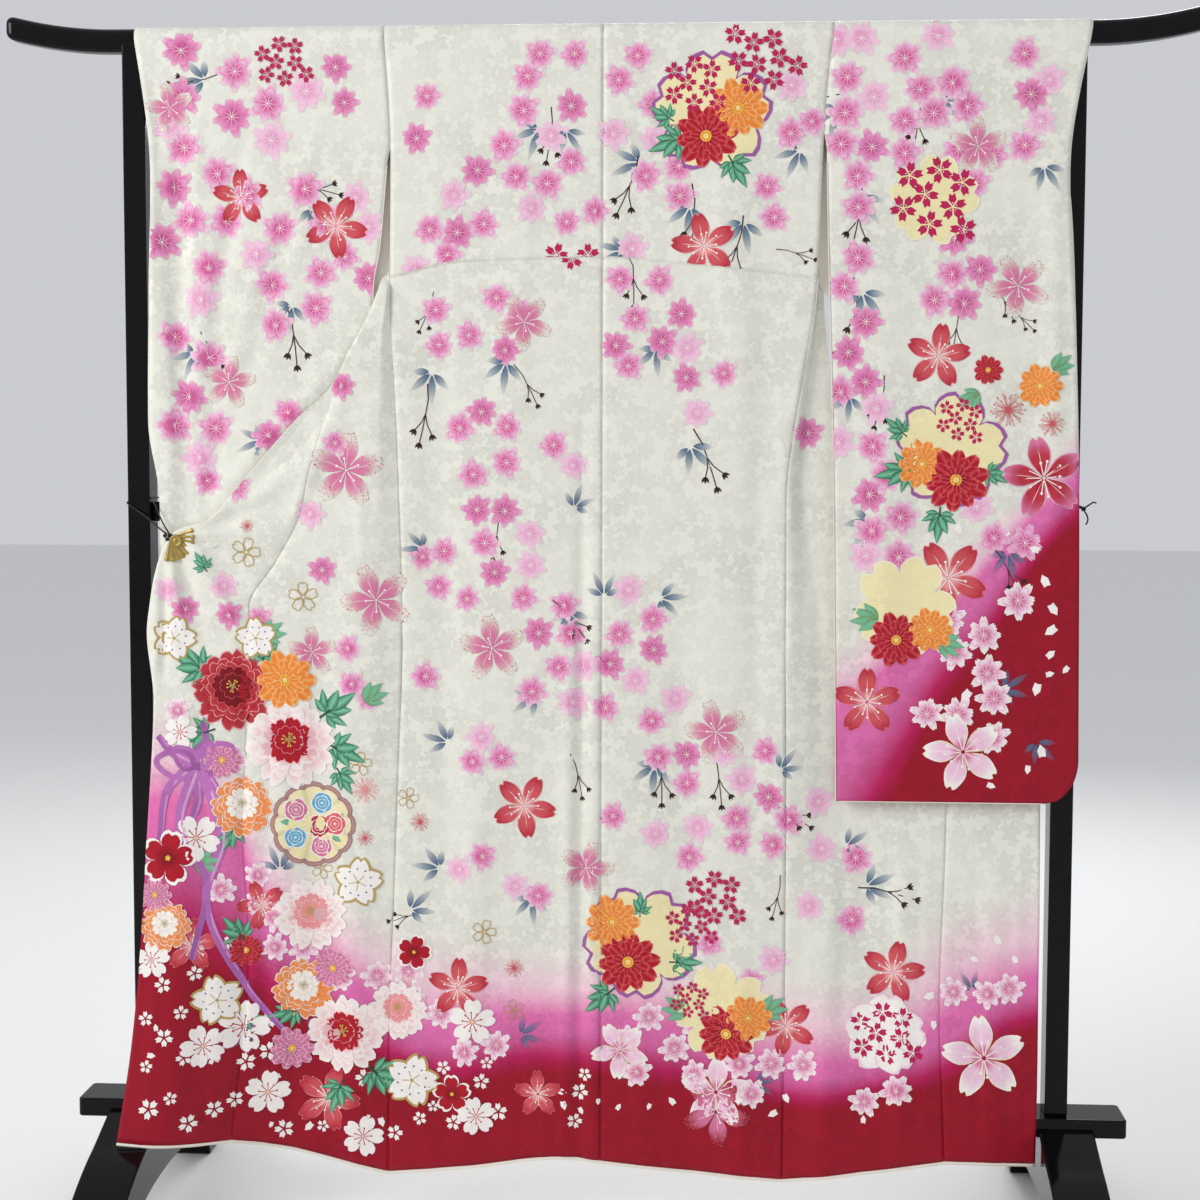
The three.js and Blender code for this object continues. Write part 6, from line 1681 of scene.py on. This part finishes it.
# Hanging sprays of small blossoms: from and to pixels, spread in pixels, number and radius in millimetres.
SPRAYS = (
    (172, 44, 196, 250, 12, 10, 20), (208, 44, 230, 205, 14, 9, 20), (262, 78, 302, 225, 20, 11, 20),
    (330, 70, 345, 130, 10, 3, 18), (186, 262, 208, 462, 11, 10, 20), (250, 190, 288, 330, 18, 8, 19),
    (350, 185, 366, 280, 12, 5, 19), (190, 470, 226, 500, 10, 4, 18), (408, 88, 426, 140, 8, 3, 18),
    (520, 74, 596, 52, 16, 7, 19), (588, 66, 560, 175, 20, 12, 20), (562, 155, 482, 180, 16, 10, 20),
    (500, 184, 430, 264, 16, 12, 19), (538, 205, 590, 216, 12, 5, 18), (442, 288, 452, 352, 12, 6, 18),
    (512, 296, 490, 366, 14, 7, 19), (480, 410, 502, 536, 16, 12, 19), (560, 434, 578, 470, 10, 4, 18),
    (498, 536, 540, 636, 16, 13, 19), (552, 604, 568, 716, 14, 10, 19), (500, 722, 474, 776, 14, 6, 18),
    (430, 550, 468, 606, 10, 4, 17), (420, 675, 434, 688, 5, 2, 18), (456, 862, 542, 905, 16, 7, 18),
    (586, 642, 600, 712, 8, 4, 18), (640, 56, 642, 146, 16, 8, 19), (622, 126, 662, 196, 14, 8, 19),
    (790, 64, 796, 160, 12, 6, 19), (762, 182, 772, 216, 10, 3, 18), (640, 236, 672, 346, 16, 12, 19),
    (678, 356, 700, 430, 12, 6, 18), (616, 304, 622, 388, 6, 3, 18), (618, 566, 650, 676, 14, 9, 19),
    (646, 700, 700, 796, 18, 11, 19), (704, 756, 776, 800, 18, 10, 19), (616, 806, 680, 846, 16, 9, 19),
    (704, 830, 836, 858, 16, 12, 18), (722, 936, 778, 976, 14, 5, 18), (806, 900, 860, 926, 12, 4, 18),
    (850, 46, 860, 118, 12, 8, 19), (906, 46, 962, 108, 18, 10, 19), (1032, 44, 1042, 158, 10, 6, 18),
    (850, 136, 856, 226, 11, 8, 19), (904, 96, 984, 186, 18, 8, 18), (850, 236, 860, 326, 10, 9, 19),
    (852, 344, 866, 420, 11, 8, 19), (942, 236, 962, 296, 14, 6, 18), (862, 434, 890, 552, 16, 10, 19),
    (880, 544, 902, 596, 12, 4, 18), (968, 500, 1020, 548, 12, 5, 18), (176, 596, 246, 622, 14, 8, 17),
    (345, 650, 358, 720, 8, 4, 17), (720, 395, 735, 350, 4, 1, 18))
# Paler ones, on the pink and the crimson.
PALE_SPRAYS = (
    (962, 604, 986, 694, 14, 8, 18), (1012, 590, 1030, 610, 6, 2, 19), (905, 715, 1000, 732, 10, 4, 18),
    (180, 700, 236, 760, 16, 9, 17), (350, 950, 480, 1045, 24, 11, 18),
    (615, 1030, 800, 1092, 22, 13, 18), (850, 1100, 912, 1090, 8, 3, 17),
    (960, 985, 1010, 1000, 8, 4, 16), (250, 880, 300, 950, 18, 8, 17))
# Single motifs: kind, pixel, radius in millimetres, turn in degrees.
LARGE = (
    ("coral", 241, 198, 42, 20), ("coral", 336, 226, 47, -12), ("coral", 704, 246, 48, 30),
    ("powder", 170, 108, 37, 30), ("powder", 229, 382, 40, 8), ("powder", 524, 322, 42, 50),
    ("powder", 346, 470, 56, 12), ("powder", 376, 600, 54, 40), ("powder", 492, 648, 50, 25),
    ("coral", 524, 806, 48, 62), ("coral", 458, 988, 46, 15), ("powder", 586, 868, 42, 0),
    ("powder", 716, 732, 48, 33), ("coral", 786, 1026, 44, 44), ("coral", 893, 972, 47, 5),
    ("powder", 716, 1112, 52, 60), ("white_open", 716, 1092, 54, 14), ("white_open", 984, 1058, 62, 26),
    ("powder", 978, 146, 42, 20), ("powder", 1018, 286, 46, 45), ("coral", 938, 356, 47, 10),
    ("rosy", 1044, 478, 60, 30), ("coral", 948, 578, 58, 50), ("coral", 867, 702, 50, 18),
    ("white_open", 963, 752, 58, 35), ("coral", 328, 1098, 50, 70), ("coral", 538, 1094, 36, 20),
    ("coral", 262, 905, 38, 40), ("coral", 192, 945, 40, 10), ("powder", 312, 652, 38, 20),
    ("powder", 400, 1000, 40, 0), ("white_open", 620, 1050, 44, 48))
MEDALLIONS = (
    ("framed", 712, 112, 88, 18), ("framed", 640, 942, 86, 50), ("framed", 950, 450, 84, 5),
    ("cream", 722, 1012, 74, 30), ("cream", 904, 606, 76, 62), ("cream", 934, 200, 66, 10),
    ("round", 314, 824, 62, 0))
# Leaves go under the flowers of each bouquet.
LEAVES = (
    ("leaf", 684, 138, 52, 200), ("leaf", 730, 158, 46, 300), ("leaf", 672, 120, 36, 150),
    ("leaf", 612, 990, 50, 220), ("leaf", 672, 962, 44, 0), ("leaf", 640, 915, 34, 90),
    ("leaf", 912, 470, 54, 190), ("leaf", 940, 510, 46, 265), ("leaf", 985, 470, 36, 330),
    ("leaf", 905, 435, 36, 140), ("olive", 688, 1012, 44, 160), ("olive", 762, 1012, 42, 20),
    ("olive", 878, 620, 44, 170), ("olive", 940, 640, 40, 330), ("leaf", 206, 672, 58, 150),
    ("leaf", 262, 664, 50, 75), ("leaf", 322, 716, 60, 35), ("leaf", 330, 745, 56, 335),
    ("leaf", 212, 730, 50, 200), ("leaf", 338, 770, 40, 300), ("leaf", 236, 826, 44, 240),
    ("leaf", 245, 940, 46, 130), ("leaf", 370, 1068, 60, 320), ("leaf", 342, 1082, 50, 250),
    ("leaf", 300, 1010, 46, 190), ("olive", 262, 636, 40, 20), ("olive", 195, 862, 40, 350),
    ("olive", 364, 700, 40, 30), ("leaf", 206, 570, 30, 120), ("plain_white", 884, 1034, 60, 10),
    ("olive", 980, 395, 34, 200), ("olive", 1052, 368, 36, 20), ("olive", 268, 1020, 36, 210),
    ("sprig", 320, 1040, 50, 60), ("sprig", 255, 1030, 40, 200))
BOUQUETS = (
    ("orange_mum", 738, 108, 44, 0), ("red_mum", 706, 136, 47, 10), ("tiny", 694, 84, 44, 10),
    ("orange_mum", 612, 922, 42, 0), ("red_mum", 628, 962, 48, 5), ("tiny", 690, 925, 36, 20),
    ("tiny", 960, 420, 34, 0), ("orange_mum", 922, 464, 38, 0), ("red_mum", 956, 480, 48, 12),
    ("red_mum", 726, 1034, 44, 3), ("orange_mum", 748, 1018, 36, 9), ("tiny", 690, 1000, 30, 0),
    ("red_mum", 896, 640, 42, 0), ("orange_mum", 930, 630, 34, 0), ("tiny", 934, 198, 62, 0),
    ("tiny", 282, 62, 40, 20), ("tiny", 764, 62, 48, 40), ("tiny", 714, 898, 44, 10),
    ("tiny", 884, 1034, 50, 15), ("orange_mum", 1040, 386, 33, 0), ("red_mum", 988, 370, 22, 0),
    ("pompon", 1008, 410, 24, 0), ("pompon", 1052, 424, 18, 0), ("orange_mum", 285, 680, 46, 0),
    ("red_peony", 233, 690, 60, 0), ("pale_peony", 290, 744, 66, 15), ("amber_peony", 243, 806, 46, 0),
    ("amber_peony", 165, 926, 38, 0), ("pink_peony", 312, 914, 54, 20), ("red_white", 168, 858, 42, 8),
    ("amber_peony", 304, 988, 46, 10), ("pale_peony", 345, 1034, 58, 40),
    ("pink_peony", 398, 1010, 44, 0), ("plum", 222, 760, 30, 0), ("plum", 292, 1048, 34, 0),
    ("plum", 333, 968, 32, 0), ("red_white", 414, 952, 28, 0), ("red_white", 452, 1094, 30, 20),
    ("gilt", 174, 638, 34, 0), ("gilt", 256, 638, 32, 25), ("gilt", 358, 882, 38, 10),
    ("gilt", 217, 1000, 38, 30), ("gilt", 412, 1080, 42, 0), ("white", 244, 1026, 40, 0),
    ("white", 203, 1046, 32, 40), ("white", 268, 1092, 34, 10), ("white", 363, 1136, 32, 0),
    ("white", 476, 1116, 30, 30), ("white", 472, 1022, 36, 15), ("white", 196, 838, 36, 50),
    ("white", 180, 732, 26, 0), ("white", 152, 960, 28, 20), ("bow", 196, 766, 56, 10),
    ("red_pompon", 365, 790, 20, 0), ("pompon", 247, 526, 10, 0), ("pompon", 420, 822, 14, 0),
    ("pompon", 514, 968, 14, 0), ("red_mum", 246, 950, 26, 0), ("plum", 155, 895, 26, 0))
SMALL_THINGS = (
    ("small", 288, 413, 27, 0), ("rose", 268, 436, 27, 40), ("rose", 341, 386, 23, 10),
    ("small", 335, 443, 22, 30), ("faint", 310, 514, 25, 0), ("rose", 322, 570, 24, 20),
    ("outline", 246, 552, 22, 0), ("outline", 303, 597, 22, 20), ("outline", 360, 764, 18, 10),
    ("outline", 408, 798, 16, 0), ("outline", 484, 932, 18, 0), ("outline", 514, 1010, 16, 30),
    ("outline", 322, 868, 16, 0), ("pompon", 365, 838, 12, 0), ("one_tiny", 556, 255, 17, 0),
    ("one_tiny", 572, 259, 15, 40), ("one_tiny", 588, 255, 16, 20), ("one_tiny", 735, 34, 15, 10))
TWIGS = (
    ("twig", 208, 78, 40, 190), ("sprig", 205, 80, 36, 170), ("twig", 300, 186, 42, 350),
    ("sprig", 312, 208, 34, 300), ("twig", 290, 316, 52, 280), ("sprig", 292, 305, 32, 250),
    ("twig", 205, 340, 38, 290), ("sprig", 196, 352, 34, 230), ("twig", 552, 118, 44, 265),
    ("sprig", 540, 128, 36, 235), ("sprig", 566, 130, 30, 290), ("twig", 432, 300, 34, 250),
    ("twig", 428, 396, 50, 262), ("sprig", 432, 372, 36, 255), ("twig", 520, 372, 38, 300),
    ("twig", 498, 520, 40, 265), ("sprig", 506, 362, 36, 250), ("sprig", 424, 548, 30, 170),
    ("sprig", 574, 508, 28, 60), ("twig", 560, 606, 44, 310), ("sprig", 568, 612, 34, 285),
    ("sprig", 536, 696, 32, 200), ("sprig", 448, 742, 32, 150), ("twig", 574, 762, 38, 285),
    ("sprig", 440, 868, 34, 160), ("sprig", 532, 898, 32, 260), ("twig", 420, 912, 34, 200),
    ("twig", 636, 168, 50, 250), ("sprig", 640, 162, 36, 190), ("twig", 694, 196, 50, 270),
    ("sprig", 690, 206, 36, 250), ("twig", 742, 228, 50, 255), ("sprig", 744, 222, 36, 265),
    ("sprig", 800, 150, 34, 230), ("twig", 784, 250, 32, 345), ("twig", 632, 262, 44, 275),
    ("sprig", 622, 250, 32, 200), ("twig", 700, 440, 52, 292), ("sprig", 690, 446, 36, 300),
    ("sprig", 656, 348, 32, 260), ("sprig", 604, 596, 30, 100), ("sprig", 660, 598, 32, 350),
    ("twig", 660, 760, 46, 275), ("sprig", 655, 765, 36, 250), ("twig", 716, 762, 46, 280),
    ("sprig", 780, 770, 30, 40), ("twig", 776, 806, 42, 330), ("twig", 870, 888, 48, 350),
    ("sprig", 866, 886, 36, 10), ("twig", 780, 884, 36, 260), ("sprig", 846, 846, 30, 20),
    ("twig", 830, 96, 42, 180), ("sprig", 838, 110, 34, 240), ("twig", 862, 196, 52, 262),
    ("sprig", 860, 196, 36, 290), ("twig", 920, 104, 44, 265), ("sprig", 940, 98, 32, 300),
    ("twig", 856, 290, 52, 272), ("sprig", 862, 292, 36, 295), ("twig", 958, 314, 38, 265),
    ("sprig", 1044, 166, 32, 290), ("twig", 884, 386, 42, 260), ("sprig", 870, 520, 36, 225),
    ("twig", 1000, 556, 42, 300), ("sprig", 1008, 552, 34, 270), ("twig", 998, 290, 34, 300),
    ("sprig", 850, 396, 30, 250), ("twig", 1012, 310, 30, 320), ("sprig", 1003, 690, 34, 20),
    ("sprig", 1036, 742, 30, 300), ("sprig", 900, 1070, 30, 120), ("sprig", 756, 1084, 28, 0),
    ("sprig", 410, 910, 34, 30), ("sprig", 520, 1035, 32, 20), ("sprig", 262, 440, 32, 190),
    ("sprig", 972, 990, 26, 110), ("sprig", 636, 1068, 28, 200), ("sprig", 280, 870, 34, 100))
# Where single petals and small white blossoms are strewn: from and to pixels, number and sizes.
STREWN = (
    ("mini", 140, 985, 330, 1130, 26, 12), ("mini", 340, 1060, 600, 1135, 22, 11),
    ("petal", 150, 1000, 420, 1130, 22, 8), ("petal", 940, 520, 1066, 700, 14, 10),
    ("petal", 880, 740, 1050, 796, 6, 10), ("petal", 900, 940, 1020, 1080, 10, 9),
    ("petal", 640, 1060, 900, 1120, 12, 8), ("mini", 150, 930, 250, 1000, 8, 12),
    ("petal", 440, 1060, 620, 1120, 10, 8))

# Gaps and spreads are shares of a blossom's radius and of a line's spread.
SPRAY_GAP = 1.55
SPRAY_GROWTH = 1.3
SPRAY_VARIED = 0.16
SPRAY_TRIES = 7
SPRAY_ACROSS = 0.95
SPRAY_DOWN = 0.5
RIGHT_SLEEVE_FROM = 835
LEFT_SLEEVE_TO = 330
LEFT_SLEEVE_DOWN_TO = 480
STREW_GAP = 1.5
PRINT_SEED = 4686
SMALL_KINDS = ("small", "small", "small", "rose", "faint")


def spray(kind, rows, spots, lift):
    """Scatter blossoms along lines, so that few of them cover one another."""
    taken = []
    for from_x, from_y, to_x, to_y, spread, count, size in rows:
        apart = SPRAY_GAP * size
        for _ in range(count):
            for _ in range(SPRAY_TRIES):
                t = spots.random()
                px = mix(from_x, to_x, t) + spots.gauss(0, spread * SPRAY_ACROSS)
                py = mix(from_y, to_y, t) + spots.gauss(0, spread * SPRAY_DOWN)
                if all(math.hypot(px - x, py - y) > apart * (0.8 + 0.4 * spots.random()) for x, y in taken):
                    break
            else:
                continue
            taken.append((px, py))
            on_sleeve = px > RIGHT_SLEEVE_FROM or px < LEFT_SLEEVE_TO and py < LEFT_SLEEVE_DOWN_TO
            grown = size * (SPRAY_GROWTH + SPRAY_VARIED * on_sleeve + SPRAY_VARIED * spots.random())
            shown = spots.choice(SMALL_KINDS) if kind == "small" else kind
            stamp(shown, px, py, grown, 360 * spots.random(), lift + 0.6 * len(taken) % 4)


def strew(spots):
    taken = []
    for kind, from_x, from_y, to_x, to_y, count, size in STREWN:
        for _ in range(count):
            px, py = spots.uniform(from_x, to_x), spots.uniform(from_y, to_y)
            if any(math.hypot(px - x, py - y) < STREW_GAP * size for x, y in taken):
                continue
            taken.append((px, py))
            stamp(kind, px, py, size * (0.75 + 0.5 * spots.random()), 360 * spots.random(), 3)


RIBBON_WIDTH = 16
RIBBON_SHINE = 4
RIBBON_LIFT = 9
RIBBONS = (
    ((196, 766), (180, 826), (206, 880), (192, 960)),
    ((199, 766), (222, 836), (206, 900), (246, 985), (284, 1030)),
    ((194, 764), (168, 790), (160, 840)), ((194, 764), (172, 752), (158, 736)),
    ((197, 762), (206, 742), (203, 722)), ((198, 768), (214, 786), (218, 812)),
    ((196, 768), (198, 800), (190, 824)))


def ribbons():
    """Lilac ribbons which wave down from the bow."""
    for row in RIBBONS:
        panel, start = at_pixel(*row[0])
        line = []
        for px, py in row:
            _, place = at_pixel(px, py)
            line.append((place[0] - start[0], place[2] - start[2], 0))
        smooth = curve(line, 14)[:, :2]
        ribbon = stroke(smooth, RIBBON_WIDTH, LILAC, VIOLET, 0.5)
        shine = stroke(smooth + (3, 0), RIBBON_SHINE, mix(LILAC, BLOSSOM_PALE, 0.6), LILAC, 0.5)
        lay(moved(ribbon, lift=RIBBON_LIFT), start, panel)
        lay(moved(shine, lift=RIBBON_LIFT + 0.5), start, panel)


REAR_SPREAD = 26
REAR_SIZE = 20
# Sprays on the hidden side: x, top and drop in millimetres, and number.
REAR_SPRAYS = ((-520, 1640, 420, 18), (-400, 1600, 300, 12), (560, 1640, 500, 22), (420, 1620, 360, 14),
               (-180, 1600, 160, 5), (190, 1600, 160, 5), (600, 1000, 260, 8), (-560, 1100, 240, 8))


def rear_print(spots):
    """Sprays on the hidden side: the rear of the sleeves, and the fronts behind the bar."""
    for x, z, drop, count in REAR_SPRAYS:
        for i in range(count):
            at = Vector((x + spots.gauss(0, REAR_SPREAD), FAR_OFF, z - drop * (i + spots.random()) / count))
            panel, place = first_hit(at, Vector((0, -1, 0)))
            if panel and panel != "collar":
                blossom = moved(MOTIFS["small"], REAR_SIZE, 360 * spots.random(), lift=i % 4)
                lay(blossom, place, panel, 1)


def lay_print():
    """Lay every motif, each table in its own layers."""
    spots = random.Random(PRINT_SEED)
    for kind, px, py, size, turn in TWIGS:
        stamp(kind, px, py, TWIG_SCALE * size, turn, 2)
    spray("small", SPRAYS, spots, 1)
    spray("pale", PALE_SPRAYS, spots, 1)
    for kind, px, py, size, turn in LARGE:
        stamp(kind, px, py, size, turn, 5)
    strew(spots)
    for rows, lift, step in ((MEDALLIONS, 7, 0), (LEAVES, 8, 0), (BOUQUETS, 9, 0.9), (SMALL_THINGS, 5, 0)):
        for i, (kind, px, py, size, turn) in enumerate(rows):
            stamp(kind, px, py, size, turn, lift + step * (i % 6))
    ribbons()
    rear_print(spots)


lay_print()
for panel_name in OUTER:
    if LAID[panel_name]:
        make_print(panel_name)
for panel_name in PANELS:
    declare_panel(panel_name)

# ---- Floor and light
FLOOR_SIZE = 40
FLOOR_Z = -0.0005
SKY_TINT = (0.93, 0.95, 1.0, 1)
SKY_STRENGTH = 0.63
# Lamps, in metres: name, place, target, size, power and colour.
LAMPS = (
    ("key", (-4.4, -3.0, 3.4), (0, 0, 0.95), (2.4, 2.4), 170, (1.0, 0.99, 0.97)),
    ("fill", (3.6, -4.2, 2.0), (0, 0, 0.9), (2.4, 2.4), 14, (0.96, 0.98, 1.0)),
    ("rear", (0.5, 3.2, 2.8), (0, 0, 1.0), (2.0, 1.5), 62, (1, 1, 1)))


def area_light(name, place, target, size, power, color):
    data = bpy.data.lights.new(name, "AREA")
    data.shape = "RECTANGLE"
    data.size, data.size_y = size
    data.energy = power
    data.color = color
    light = bpy.data.objects.new(name, data)
    light.location = place
    light.rotation_euler = (Vector(target) - Vector(place)).to_track_quat("-Z", "Y").to_euler()
    bpy.context.collection.objects.link(light)


def make_floor():
    bpy.ops.mesh.primitive_plane_add(size=FLOOR_SIZE, location=(0, 0, FLOOR_Z))
    floor = bpy.context.object
    floor.name = "floor"
    material = two_toned("pale_floor", "ShaderNodeTexNoise", ((0.80, 0.80, 0.79), (0.84, 0.84, 0.83)),
                         numbers=[("Roughness", 0.6)], inputs={"Scale": 60.0, "Detail": 4.0})
    floor.data.materials.append(material)


def make_world():
    world = bpy.data.worlds.new("studio")
    world.use_nodes = True
    sky = world.node_tree.nodes["Background"]
    sky.inputs["Color"].default_value = SKY_TINT
    sky.inputs["Strength"].default_value = SKY_STRENGTH
    bpy.context.scene.world = world


make_floor()
make_world()
for lamp in LAMPS:
    area_light(*lamp)
